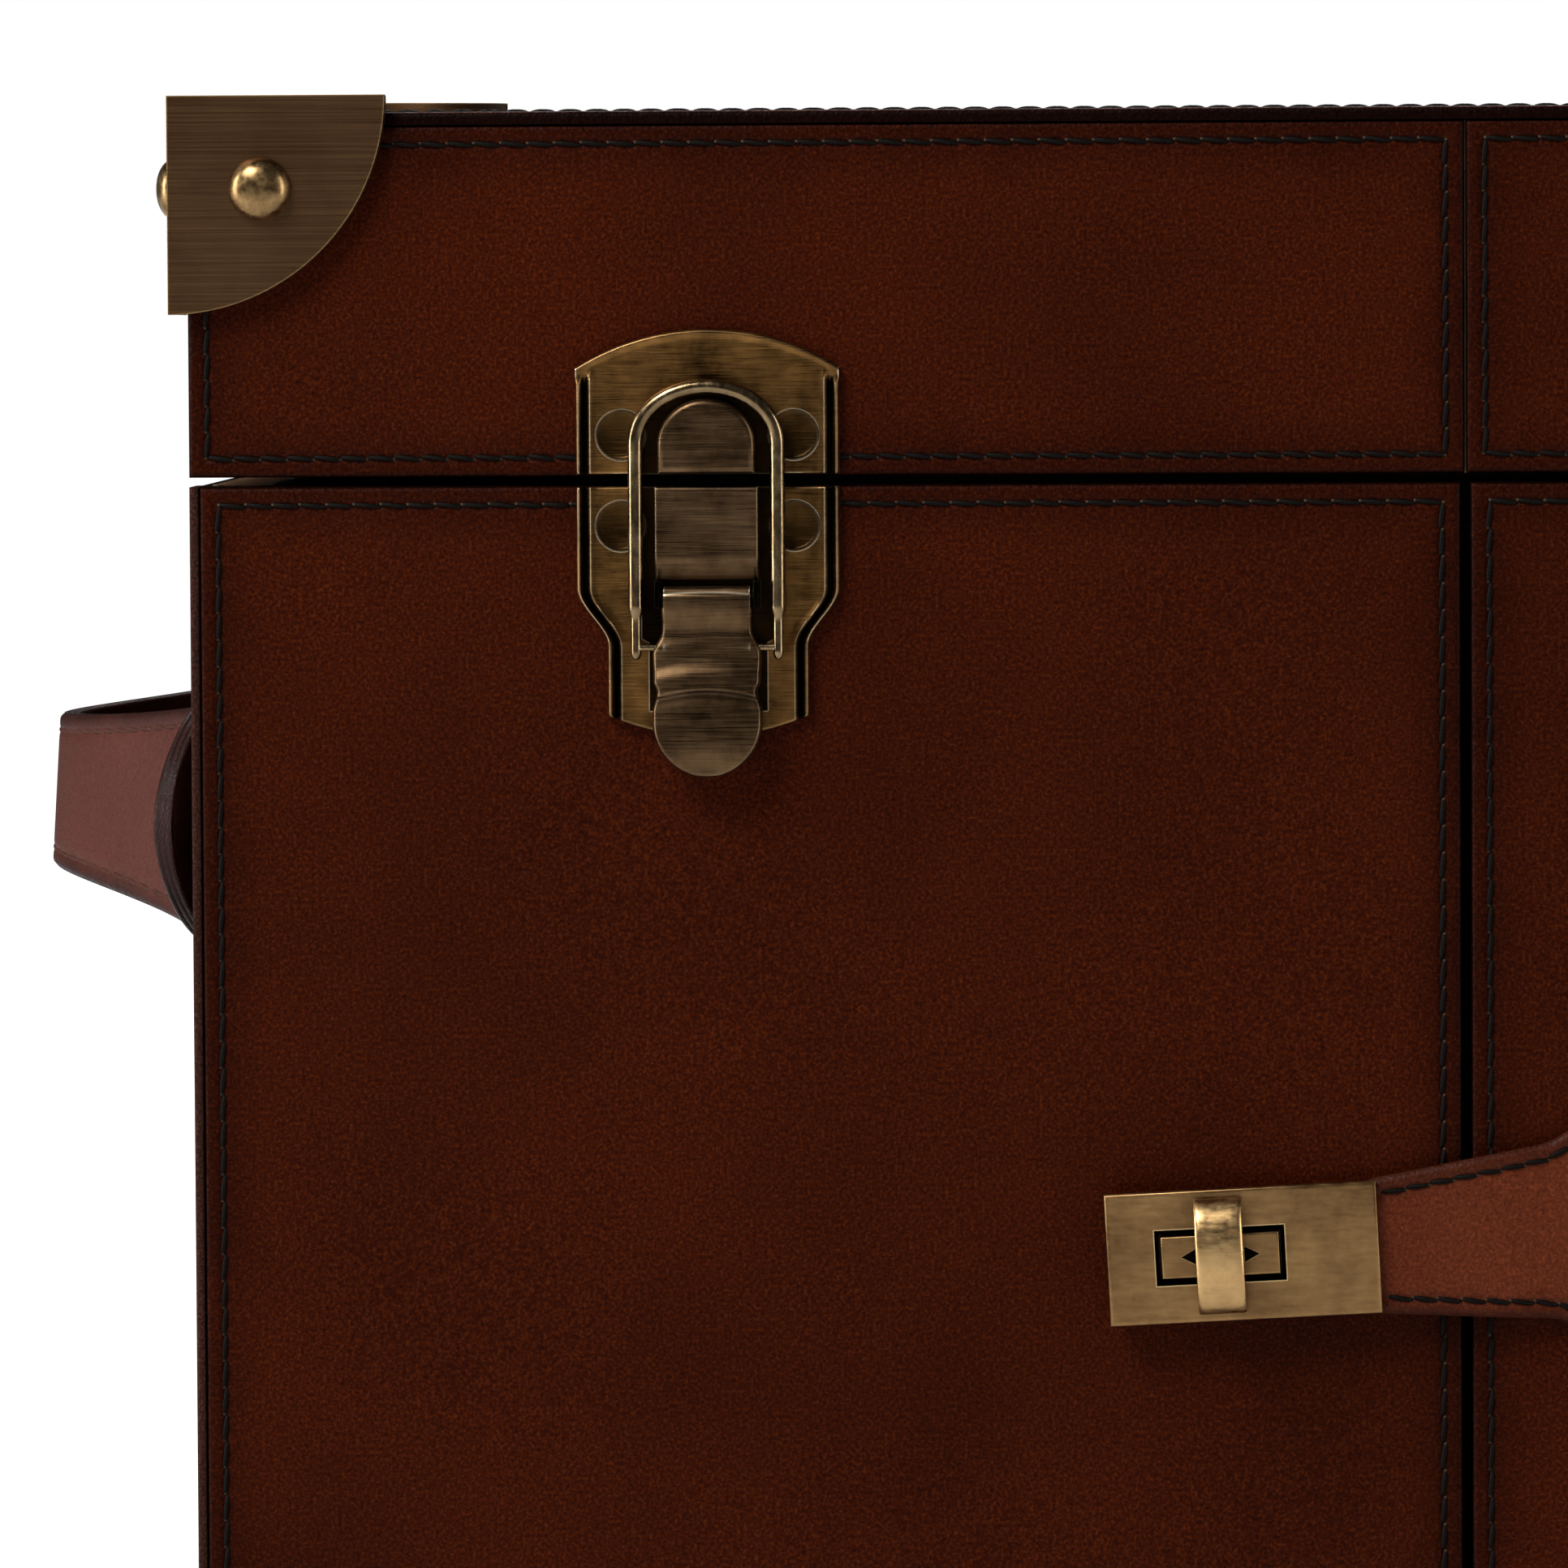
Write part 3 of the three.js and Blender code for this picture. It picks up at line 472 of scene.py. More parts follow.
def grid_rim(rows, columns):
    """The indices round a grid's border, anticlockwise."""
    rim = list(range(columns))
    rim += [i * columns + columns - 1 for i in range(1, rows)]
    rim += [(rows - 1) * columns + j for j in reversed(range(columns - 1))]
    rim += [i * columns for i in reversed(range(1, rows - 1))]
    return rim


def panel(mould, at, u, v, size, thickness, round_edge=0.8, groove=0.25, swell=0.16):
    """One panel: at is its corner on the outer face, u and v its edges, and u x v points outward."""
    out = u.cross(v)
    width, height = size
    us, vs = ticks(width), ticks(height)
    points, edge = [], []
    for b in vs:
        for a in us:
            d = min(a, width - a, b, height - b)
            level = 0.0
            if d < round_edge:
                level = math.sqrt(max(round_edge**2 - (round_edge - d) ** 2, 0)) - round_edge
            level -= groove * bell(d, STITCH_INSET, 0.5)
            p = at + u * a + v * b
            level += swell * min(d / SWELL_REACH, 1) * (noise.noise(p * SWELL_SCALE) - 0.6)
            points.append(p + out * level)
            edge.append(min(d / SHADE_REACH, 1) if d > 0.25 else BURNISHED)
    faces = grid_faces(len(vs), len(us))
    rim = grid_rim(len(vs), len(us))
    first = len(points)
    for r in rim:
        points.append(points[r] - out * (thickness + (points[r] - at).dot(out)))
        edge.append(BURNISHED)
    turned_back = list(range(first, first + len(rim)))
    faces += [(b, a, d, c) for a, b, c, d in joined(rim, turned_back)]
    faces.append(tuple(reversed(turned_back)))
    mould.add(points, faces, edge=edge)


def stitch(mould, start, end, out):
    """One saddle stitch: the thread leaves a hole, crosses the leather at a slant and sinks again."""
    slant, lift, sink, sides = 0.2, 0.26, 0.2, 7
    along = end - start
    across = out.cross(along).normalized()
    centre = (start + end) / 2
    lean = slant * (1 + 0.6 * noise.noise(centre * 0.9))
    rings, tip = [], []
    for t in spaced(0, 1, 8):
        arch = math.sin(math.pi * t)
        place = along * (1.04 * (t - 0.5)) + across * (lean * (1 - 2 * t)) + out * (lift * arch**0.6 - sink)
        r = THREAD_RADIUS * (0.5 + 0.5 * max(arch, 0.03) ** 0.5)
        ring = []
        for j in range(sides):
            a = 2 * math.pi * j / sides + 2.2 * t
            ring.append(centre + place + r * (math.cos(a) * across + math.sin(a) * out))
        rings.append(ring)
        # The tip attribute places the thread's painted glint at the stitch's end.
        tip += [t**3] * sides
    points, faces = sweep_rings(rings)
    mould.add(points, faces, tip=tip)


def stitch_run(mould, path, normals, pitch=STITCH_PITCH):
    """A row of stitches along a path that may bend."""
    reach = [0.0]
    for a, b in zip(path, path[1:]):
        reach.append(reach[-1] + (b - a).length)
    count = max(1, round(reach[-1] / pitch))

    def at(distance):
        i = 0
        while i < len(path) - 2 and distance > reach[i + 1]:
            i += 1
        t = (distance - reach[i]) / (reach[i + 1] - reach[i])
        return path[i].lerp(path[i + 1], t), normals[i].lerp(normals[i + 1], t).normalized()

    for n in range(count):
        start, _ = at(reach[-1] * n / count)
        end, _ = at(reach[-1] * (n + 1) / count)
        _, out = at(reach[-1] * (n + 0.5) / count)
        stitch(mould, start, end, out)


def stitched_frame(mould, at, u, v, size):
    """Rows of stitches along all four sides of a panel."""
    out = u.cross(v)
    low, right, top = STITCH_INSET, size[0] - STITCH_INSET, size[1] - STITCH_INSET
    corners = [(low, low), (right, low), (right, top), (low, top)]
    spots = [at + u * a + v * b - out * 0.1 for a, b in corners]
    for start, end in zip(spots, spots[1:] + spots[:1]):
        stitch_run(mould, [start, end], [out, out])


def face_of(low, high, face):
    """The corner, edge directions, size and thickness of one face of a box."""
    size = high - low
    return {
        "-y": (Vector((low.x, low.y, low.z)), X, Z, (size.x, size.z), size.y),
        "+y": (Vector((high.x, high.y, low.z)), -X, Z, (size.x, size.z), size.y),
        "-x": (Vector((low.x, high.y, low.z)), -Y, Z, (size.y, size.z), size.x),
        "+x": (Vector((high.x, low.y, low.z)), Y, Z, (size.y, size.z), size.x),
        "+z": (Vector((low.x, low.y, high.z)), X, Y, (size.x, size.y), size.z),
        "-z": (Vector((low.x, high.y, low.z)), X, -Y, (size.x, size.y), size.z),
    }[face]


def covering(name, body, slot, boxes, material, replaced, **shape):
    """Panels over the given boxes and faces as one piece, with their stitches as another."""
    mould, threads = Mould(), Mould()
    for low, high, face in boxes:
        at, u, v, size, thickness = face_of(low, high, face)
        panel(mould, at, u, v, size, thickness, **shape)
        stitched_frame(threads, at, u, v, size)
    mould.finish(name, material, body, slot, replaced)
    threads.finish(f"{name}_stitches", THREAD, body, slot, flat_angle=80)


def rounded_bar(mould, low, high):
    """A box with softened long edges, laid along its longest side."""
    soft = 0.5
    size = high - low
    axis = max(range(3), key=lambda i: size[i])
    first, second = [i for i in range(3) if i != axis]
    corners = [(0, 0), (1, 0), (1, 1), (0, 1)]
    outline = []
    for k, (a, b) in enumerate(corners):
        for turn in spaced(0, math.pi / 2, 3):
            angle = turn + math.pi + k * math.pi / 2
            centre_a = soft if a == 0 else size[first] - soft
            centre_b = soft if b == 0 else size[second] - soft
            outline.append((centre_a + soft * math.cos(angle), centre_b + soft * math.sin(angle)))
    rings = []
    for step in spaced(0, size[axis], max(2, round(size[axis] / 12))):
        ring = []
        for a, b in outline:
            p = Vector(low)
            p[axis] += step
            p[first] += a
            p[second] += b
            ring.append(p)
        rings.append(ring)
    points, faces = sweep_rings(rings)
    if axis == 1:
        faces = [tuple(reversed(face)) for face in faces]
    mould.add(points, faces, edge=0.35)


def door_leather(name, side):
    """The front panel, the strip of raw edge beside it and the leather turned round the door's edges."""
    low, high = box_mm(f"door_leather_{name}")
    strip, edge, thickness = 1.25, 1.3, 1.8
    front_low, front_high = Vector(low), Vector(high)
    front_high.y = low.y + thickness
    if side < 0:
        front_low.x += strip + 0.15
    else:
        front_high.x -= strip + 0.15
    body = f"{name}_door"
    node = f"door_leather_{name}"
    covering(f"door_hide_{name}", body, "case_leather", [(front_low, front_high, "-y")], HIDE, [node])
    turned = Mould()
    back, behind = high.y, low.y + thickness + 0.05
    outer = low.x if side < 0 else high.x - edge
    inner = high.x - edge if side < 0 else low.x
    rounded_bar(turned, Vector((outer, low.y + 0.15, low.z)), Vector((outer + edge, back, high.z)))
    rounded_bar(turned, Vector((inner, behind, low.z)), Vector((inner + edge, back, high.z)))
    for z in (low.z, high.z - edge):
        rounded_bar(turned, Vector((low.x + edge, behind, z)), Vector((high.x - edge, back, z + edge)))
    turned.finish(f"door_edge_{name}", EDGE_HIDE, body, "case_leather")


def leather_covering():
    """Hide on the doors, the lid and the case."""
    for name, side in SIDES.items():
        door_leather(name, side)
        face = "-x" if side < 0 else "+x"
        for node, body in (("lid_side_leather", "lid"), ("case_side_leather", "case")):
            full = f"{node}_{name}"
            boxes = [(*box_mm(full), face)]
            covering(full.replace("leather", "hide"), body, "case_leather", boxes, HIDE, [full])
        front = f"lid_front_leather_{name}"
        boxes = [(*box_mm(front), "-y")]
        covering(front.replace("leather", "hide"), "lid", "case_leather", boxes, HIDE, [front])
    for node, body, face in (
        ("lid_top_leather", "lid", "+z"),
        ("lid_back_leather", "lid", "+y"),
        ("case_back_leather", "case", "+y"),
        ("case_base_leather", "case", "-z"),
    ):
        covering(node.replace("leather", "hide"), body, "case_leather", [(*box_mm(node), face)], HIDE, [node])


# ---- Linings ----
CLOTH_SHEET, PIPING_RADIUS, PIPING_DROP = 1.0, 1.0, 1.3


def lining_tray(name, node, body, open_up):
    """Cloth inside a tray, with piping round its rim. A tray that opens up is open at the front too."""
    low, high = box_mm(node)
    sheet = CLOTH_SHEET
    floor_z = (low.z, low.z + sheet) if open_up else (high.z - sheet, high.z)
    wall_z = (low.z + sheet, high.z) if open_up else (low.z, high.z - sheet)
    y0 = low.y + (0 if open_up else sheet)
    sides = {
        "+z" if open_up else "-z": ((low.x, low.y, floor_z[0]), (high.x, high.y, floor_z[1])),
        "-y": ((low.x + sheet, high.y - sheet, wall_z[0]), (high.x - sheet, high.y, wall_z[1])),
        "+x": ((low.x, y0, wall_z[0]), (low.x + sheet, high.y, wall_z[1])),
        "-x": ((high.x - sheet, y0, wall_z[0]), (high.x, high.y, wall_z[1])),
    }
    if not open_up:
        sides["+y"] = ((low.x, low.y, wall_z[0]), (high.x, low.y + sheet, wall_z[1]))
    boxes = [(Vector(a), Vector(b), face) for face, (a, b) in sides.items()]
    covering(name, body, "lining", boxes, CLOTH, [node], round_edge=0.3, groove=0.35, swell=0.5)
    inner = sheet + 0.6
    left, right, back = low.x + inner, high.x - inner, high.y - inner
    front = low.y + (1.0 if open_up else inner)
    rim_z = (high.z - PIPING_DROP) if open_up else (low.z + PIPING_DROP)
    path = [Vector((x, y, rim_z)) for x, y in ((left, front), (left, back), (right, back), (right, front))]
    if not open_up:
        path.append(path[0])
    piping = Mould()
    for start, end in zip(path, path[1:]):
        piping.add(*tube([start.lerp(end, t) for t in spaced(0, 1, 30)], PIPING_RADIUS, 10, up=Z))
    piping.finish(f"{name}_piping", EDGE_HIDE, body, "lining")


def linings():
    """Cloth in the case, in the lid and on the doors."""
    lining_tray("case_cloth", "case_lining", "case", open_up=True)
    lining_tray("lid_cloth", "lid_lining", "lid", open_up=False)
    for name in SIDES:
        node = f"door_lining_{name}"
        boxes = [(*box_mm(node), "+y")]
        body = f"{name}_door"
        covering(f"door_cloth_{name}", body, "lining", boxes, CLOTH, [node], round_edge=0.3, swell=0.3)


# ---- Corner brackets ----
BRACKET_RADIUS, BRACKET_PLATE, RIVET_INSET = 30, 2.3, 12.8
RIVET_RADIUS, RIVET_HEIGHT, DOME_HEIGHT = 4.25, 2.2, 2.9  # the frame's rivets are RIVET_HEIGHT high
FOOT_HEIGHT = 3.0


def dome(at, axis):
    """A domed rivet head with a short upright rim."""
    profile = [(0, -0.1), (RIVET_RADIUS + 0.1, -0.1), (RIVET_RADIUS + 0.1, 0.25)]
    for a in spaced(0, math.pi / 2, 14)[1:-1]:
        profile.append((RIVET_RADIUS * math.cos(a) ** 0.9, 0.25 + (DOME_HEIGHT - 0.25) * math.sin(a)))
    profile.append((0, DOME_HEIGHT))
    return lathe(profile, at, axis, 48)


def corner_bracket(node, body, faces, inward):
    """Quarter-disc plates that meet at one corner of the case. inward points from the corner to the case."""
    low, high = box_mm(node)
    foot = body == "case"
    proud = {"x": RIVET_HEIGHT, "y": RIVET_HEIGHT if "y" in faces else 0, "z": FOOT_HEIGHT if foot else 0}
    corner = Vector()
    for i, axis in enumerate("xyz"):
        corner[i] = (low[i] if inward[i] > 0 else high[i]) + inward[i] * proud[axis]
    ax, ay, az = (axis * sign for axis, sign in zip((X, Y, Z), inward))
    planes = {"x": (ay, az, ax), "y": (ax, az, ay), "z": (ax, ay, az)}
    plate, heads = Mould(), Mould()
    for face in faces:
        u, v, inner = planes[face]
        outline = [corner]
        for a in spaced(0, math.pi / 2, 40):
            outline.append(corner + BRACKET_RADIUS * (math.cos(a) * u + math.sin(a) * v))
        order = list(range(len(outline)))
        if u.cross(v).dot(inner) > 0:
            order.reverse()
        plate.add(outline, [tuple(order)])
        place = corner + RIVET_INSET * (u + v)
        if face != "z":
            heads.add(*dome(place, -inner))
        elif foot:
            stud = [(0, 0), (6, 0), (6, 1.5), (5.6, 2.5), (5.0, FOOT_HEIGHT), (0, FOOT_HEIGHT)]
            heads.add(*lathe(stud, place, -inner, 40))
    shell = plate.finish(f"{node}_plate", BRACKET, None, "bracket_brass", [node], flat_angle=35)
    weld = shell.modifiers.new("weld", "WELD")
    weld.merge_threshold = 0.01 * MM
    thickness = shell.modifiers.new("thickness", "SOLIDIFY")
    thickness.thickness = BRACKET_PLATE * MM
    thickness.offset = -1
    thickness.use_even_offset = True
    bevel = shell.modifiers.new("edges", "BEVEL")
    bevel.width = 0.32 * MM
    bevel.segments = 3
    bevel.limit_method = "ANGLE"
    bevel.angle_limit = math.radians(35)
    bevel.harden_normals = True
    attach(shell, body)
    heads.finish(f"{node}_rivets", RIVET, body, "bracket_brass", flat_angle=35)


def corner_brackets():
    """Brackets on the lid's corners and, with feet, under the case's corners."""
    for name, side in SIDES.items():
        corner_bracket(f"lid_corner_front_{name}", "lid", "xyz", (-side, 1, -1))
        corner_bracket(f"lid_corner_back_{name}", "lid", "xyz", (-side, -1, -1))
        corner_bracket(f"base_corner_front_{name}", "case", "xz", (-side, 1, 1))
        corner_bracket(f"base_corner_back_{name}", "case", "xyz", (-side, -1, 1))


# ---- Draw latches ----
# Millimetres, with x = 0 at the latch's middle, y = 0 on the leather and z = 0 in the seam.
PLATE, PROUD = 1.3, 3.1  # the plates' thickness, and how far the tongue and boss stand off them
PIVOT_Y, PIVOT_Z, BAIL_Z = -3.6, -15.4, -22.9
WIRE_RADIUS = 1.05
THROWN = math.radians(30)  # between the thrown lever and the boss
WELL_HALF, WELL_PAINTED_SHADE = 9.1, 0.93  # the ground under the moving parts, painted near black as shade
RIM_STEPS = [0, 0.1, 0.25, 0.45, 0.65, 0.85, 1.05, 1.3, 1.55, 1.8, 2.0, 2.2, 2.5, 3.0]
LEVER_DEPTHS = [
    (-14.9, 4.5), (-15.6, 5.1), (-17.0, 5.15), (-20.4, 4.65), (-24.0, 5.2), (-27.0, 6.0),
    (-28.3, 6.05), (-29.0, 5.35), (-30.5, 5.25), (-36.0, 5.6), (-40.5, 5.2),
]
LEVER_HALVES = [(-15, 6.25), (-20.3, 6.15), (-23.6, 7.4), (-27.2, 7.3), (-28.8, 6.8), (-31.5, 7.45)]


def rim_columns(half, inner):
    """Places across a plate, close together where rim_relief shapes its two sides."""
    return mirrored([-1 + d / half for d in RIM_STEPS], inner)


def rim_relief(distance):
    """Two ridges with a groove between them along a plate's side: height, and painted shade that darkens the
    groove.
    """
    ridges = 0.30 * bell(distance, 0.4, 0.3) + 0.35 * bell(distance, 2.05, 0.32)
    height = ridges - 0.65 * bell(distance, 1.2, 0.4) - 0.5 * max(1 - distance / 0.2, 0) ** 2
    return height, min(1.25 * bell(distance, 1.2, 0.5), 1)


def relief_plate(mould, rows, across, point, back=-0.1):
    """A plate whose front is point(row, column), which returns the place and how much painted shade darkens
    it.
    """
    points, soot = [], []
    for row in rows:
        for column in across:
            place, painted_shade_and_marks = point(row, column)
            points.append(place)
            soot.append(painted_shade_and_marks)
    faces = [tuple(reversed(face)) for face in grid_faces(len(rows), len(across))]
    rim = grid_rim(len(rows), len(across))
    first = len(points)
    for r in rim:
        points.append(Vector((points[r].x, back, points[r].z)))
        # Painted shade: the side walls darken towards the back, where the plate meets the leather.
        soot.append(0.3)
    behind = list(range(first, first + len(rim)))
    faces += joined(rim, behind)
    faces.append(tuple(behind))
    mould.add(points, faces, soot=soot)


def inset(outline, distance):
    """An anticlockwise outline moved inward by a distance."""
    ring = []
    for i, (x, z) in enumerate(outline):
        here = Vector((x, z))
        before = (here - Vector(outline[i - 1])).normalized()
        after = (Vector(outline[(i + 1) % len(outline)]) - here).normalized()
        normal = Vector((-before.y - after.y, before.x + after.x)).normalized()
        ring.append(here + normal * distance / max(normal.dot(Vector((-before.y, before.x))), 0.4))
    return ring


def bevelled(mould, outline, back, front, bevel, painted_shade_and_marks=0.0):
    """A flat plate from an anticlockwise outline in X and Z, with a rounded front edge."""
    levels = [(0, back), (0, front - bevel)]
    for a in spaced(0, math.pi / 2, 3)[1:]:
        levels.append((bevel * (1 - math.cos(a)), front - bevel * (1 - math.sin(a))))
    levels.append((bevel * 1.15, front))
    rings = [[Vector((p.x, -depth, p.y)) for p in inset(outline, distance)] for distance, depth in levels]
    mould.add(*sweep_rings(rings), soot=painted_shade_and_marks)


def box_outline(x0, x1, z0, z1):
    """A rectangle, anticlockwise."""
    return [(x0, z0), (x1, z0), (x1, z1), (x0, z1)]


def arch_outline(half, foot, top, rise):
    """Straight sides under half an ellipse."""
    arc = [(half * math.cos(a), top - rise + rise * math.sin(a)) for a in spaced(0, math.pi, 28)]
    return [(-half, foot), (half, foot)] + arc


def flat_rivets(mould, spread, z):
    """Flush rivet heads with a thin raised rim."""
    disc = [(0, -0.2), (3.5, -0.2), (3.5, 0.26), (3.42, 0.38), (3.2, 0.40), (3.02, 0.30), (2.9, 0.25)]
    disc.append((0, 0.25))
    for side in (-1, 1):
        mould.add(*lathe(disc, Vector((side * spread, -PLATE, z)), -Y, 44), soot=0.7)


def cross_pin(mould, half, z, radius, sides, **marks):
    """A round bar from side to side at the pivots' depth."""
    mould.add(*tube([Vector((x, PIVOT_Y, z)) for x in (-half, half)], radius, sides, up=Z), **marks)


def latch_keeper(put, half, foot, top):
    """An arched plate on the lid with the tongue that the bail hooks over."""
    rise, rim_end = 5.2, 1.6
    arch = (half**2 + rise**2) / (2 * rise)

    def point(t, c):
        x = c * half
        crest = top - arch + math.sqrt(arch**2 - x**2)
        z = foot + t * (crest - foot)
        # rim_relief's second value is painted shade in the rim's groove, faded out near the crest.
        lift, painted_shade_and_marks = rim_relief(half - abs(x))
        fade = min(max((crest - rim_end - z) / 0.8, 0), 1)
        depth = PLATE + lift * fade + 0.25 * bell(crest - z, 0.5, 0.35)
        depth -= 0.4 * max(1 - min(crest - z, z - foot) / 0.25, 0) ** 2
        return Vector((x, -depth, z)), painted_shade_and_marks * fade

    plate = Mould()
    rows = [1, 0.995, 0.988, 0.975, 0.96, 0.94] + spaced(0.92, 0.03, 26) + [0.02, 0.01, 0]
    relief_plate(plate, rows, rim_columns(half, 24), point)
    # Painted shadow: a near-black sheet round the tongue, inside the bail.
    well = arch_outline(WELL_HALF + 0.2, foot + 0.05, 12.5, 7.9)
    bevelled(plate, well, PLATE - 0.3, PLATE + 0.04, 0.02, painted_shade_and_marks=WELL_PAINTED_SHADE)
    flat_rivets(plate, 11.8, foot + 5.4)
    put(plate, "keeper", LATCH, "lid", "latch_keeper")
    tongue = Mould()
    bevelled(tongue, arch_outline(6.7, foot + 0.15, foot + 10.4, 6.2), PLATE - 0.2, PLATE + PROUD, 0.85)
    put(tongue, "tongue", LEVER, "lid")


def latch_boss(top):
    """A block whose foot slopes back, so the thrown lever can lie against it."""
    half, low, foot_depth = 7.1, -13.75, 1.75

    def point(z, c):
        x = c * half
        depth = min(PLATE + PROUD, foot_depth + math.tan(THROWN) * (z - PIVOT_Z))
        gap = min(half - abs(x), top - z, z - low)
        return Vector((x, 0.3 * max(1 - gap / 0.35, 0) ** 2 - depth, z)), 0.0

    boss = Mould()
    rows = [top, top - 0.1, top - 0.2, top - 0.35] + spaced(top - 0.6, low + 0.5, 24)
    rows += [low + 0.35, low + 0.2, low + 0.1, low]
    relief_plate(boss, rows, mirrored([-1, -0.985, -0.97, -0.95, -0.9], 8), point)
    return boss


def latch_base(put, half, top, bottom):
    """The plate narrows below its rivets and its foot curves down. It carries the boss and two ears."""
    waist, shoulder, ogee, sag = 13.8, top - 14, 8.0, 1.5

    def half_at(z):
        t = min(max((shoulder - z) / ogee, 0), 1)
        return half + (waist - half) * (3 * t * t - 2 * t**3)

    def point(z, c):
        wide = half_at(z)
        x = c * wide
        # rim_relief also gives painted shade for the rim's groove.
        lift, painted_shade_and_marks = rim_relief(wide - abs(x))
        depth = PLATE + lift - 0.3 * max(1 - min(top - z, z - bottom - sag) / 0.25, 0) ** 2
        bend = min(max((bottom + 8 - z) / 6.5, 0), 1)
        return Vector((x, -depth, z - sag * bend * (1 - 2 * (x / waist) ** 2))), painted_shade_and_marks

    plate = Mould()
    rows = [top, top - 0.1, top - 0.25] + spaced(top - 0.5, bottom + sag + 0.5, 56)
    rows += [bottom + sag + 0.25, bottom + sag + 0.1, bottom + sag]
    relief_plate(plate, rows, rim_columns(half, 26), point)
    # Painted shadow: a near-black sheet in the channels beside the boss and under the lever.
    deep, narrow, low = -21.6, 8.1, -31.5
    right = [(narrow, low), (narrow, deep - 0.5), (WELL_HALF, deep), (WELL_HALF, top - 0.05)]
    well = [(-narrow, low)] + right + [(-x, z) for x, z in reversed(right[1:])]
    bevelled(plate, well, PLATE - 0.3, PLATE + 0.04, 0.02, painted_shade_and_marks=WELL_PAINTED_SHADE)
    # Painted shade: the ears and the pivot pin beside and under the lever head are near black.
    ear_in, ear_out = 6.4, 7.15
    for x0, x1 in ((-ear_out, -ear_in), (ear_in, ear_out)):
        bevelled(plate, box_outline(x0, x1, -17.3, -13.5), PLATE - 0.2, PLATE + 3.7, 0.2, painted_shade_and_marks=1.0)
    cross_pin(plate, 7.2, PIVOT_Z, 0.9, 16, soot=1.0)
    flat_rivets(plate, 11.9, top - 5.4)
    put(plate, "latch_plate", LATCH, "door", "latch_base")
    put(latch_boss(top), "boss", LEVER, "door")


def latch_lever(put, tip):
    """A curved casting with a crease above its round thumb plate."""
    head, thumb, crease, crown = -14.9, 7.45, -29.3, 1.0
    turn = tip + thumb

    def half_at(z):
        if z < turn:
            return max(math.sqrt(max(thumb**2 - (turn - z) ** 2, 0)), 0.05)
        return eased(LEVER_HALVES, z)

    def point(z, c):
        wide = half_at(z)
        x = c * wide
        bowed = z + crown * c * c
        depth = eased(LEVER_DEPTHS, bowed if z < -24 else z) - 0.3 * c * c
        if z < turn:
            depth += 0.3 * (turn - z) / thumb
        gap = min(wide - abs(x), head - z, (z - tip) * 1.5)
        depth -= 0.5 * max(1 - max(gap, 0) / 0.45, 0) ** 2
        # Painted shadow along the crease, under its ridge.
        return Vector((x, -depth, z)), 0.55 * bell(bowed, crease, 0.5)

    casting = Mould()
    rows = [head, head - 0.12, head - 0.3] + spaced(head - 0.6, -27.6, 34) + spaced(-27.6, -30.6, 20)[1:]
    rows += spaced(-30.6, turn, 8)[1:] + [turn - thumb * math.sin(a) for a in spaced(0, math.pi / 2, 20)[1:]]
    relief_plate(casting, rows, mirrored([-1, -0.985, -0.965, -0.94, -0.9, -0.84], 14), point, back=-1.7)
    for z, radius in ((PIVOT_Z, 1.1), (BAIL_Z, 1.2)):
        cross_pin(casting, 5.9, z, radius, 24)
    put(casting, "lever", LEVER, "lever", "latch_lever")


def latch_bail(put, leg, top):
    """A wire loop; its flattened ends stand beside the lever on short pins."""
    rise, flat = 8.0, 0.72
    arch_z = top - WIRE_RADIUS - rise
    ends = [BAIL_Z - 1.5, BAIL_Z - 1.4, BAIL_Z - 1.1]
    left = [Vector((-leg, PIVOT_Y, z)) for z in ends + spaced(BAIL_Z - 0.7, arch_z, 60)]
    over = []
    for a in spaced(0, math.pi, 44)[1:-1]:
        over.append(Vector((-leg * math.cos(a), PIVOT_Y, arch_z + rise * math.sin(a) ** 0.94)))
    route = left + over + [Vector((-p.x, p.y, p.z)) for p in reversed(left)]
    radii = []
    for p in route:
        neck = WIRE_RADIUS - (WIRE_RADIUS - flat) * min(max((-17.6 - p.z) / 0.9, 0), 1)
        end = min(max((p.z - BAIL_Z + 1.5) / 0.6, 0), 1)
        radii.append(neck * (0.25 + 0.75 * math.sqrt(end)))
    loop = Mould()
    loop.add(*tube(route, radii, 16))
    for side in (-1, 1):
        pin = [Vector((side * x, PIVOT_Y, BAIL_Z + 0.2)) for x in (4.0, 6.0, 8.0, leg)]
        loop.add(*tube(pin, 0.5, 12, up=Z))
    put(loop, "bail", WIRE, "bail", "latch_bail")


def latch(name):
    """One draw latch: four bodies that stand about the middle of its keeper."""
    keeper_low, keeper_high = box_mm(f"latch_keeper_{name}")
    base_low, base_high = box_mm(f"latch_base_{name}")
    bail_low, bail_high = box_mm(f"latch_bail_{name}")
    centre = Vector(((keeper_low.x + keeper_high.x) / 2, FRONT, SEAM))
    bodies = {"lid": "lid", "door": f"{name}_door", "lever": f"{name}_lever", "bail": f"{name}_bail"}

    def put(mould, piece_name, material, body, node=None):
        mould.points = [centre + p for p in mould.points]
        replaced = [f"{node}_{name}"] if node else []
        mould.finish(f"{piece_name}_{name}", material, bodies[body], "latch_brass", replaced, flat_angle=50)

    half = (keeper_high.x - keeper_low.x) / 2
    latch_keeper(put, half, keeper_low.z - SEAM, keeper_high.z - SEAM)
    latch_base(put, half, base_high.z - SEAM, base_low.z - SEAM)
    latch_lever(put, box_mm(f"latch_lever_{name}")[0].z - SEAM)
    latch_bail(put, (bail_high.x - bail_low.x) / 2 - WIRE_RADIUS, bail_high.z - SEAM)


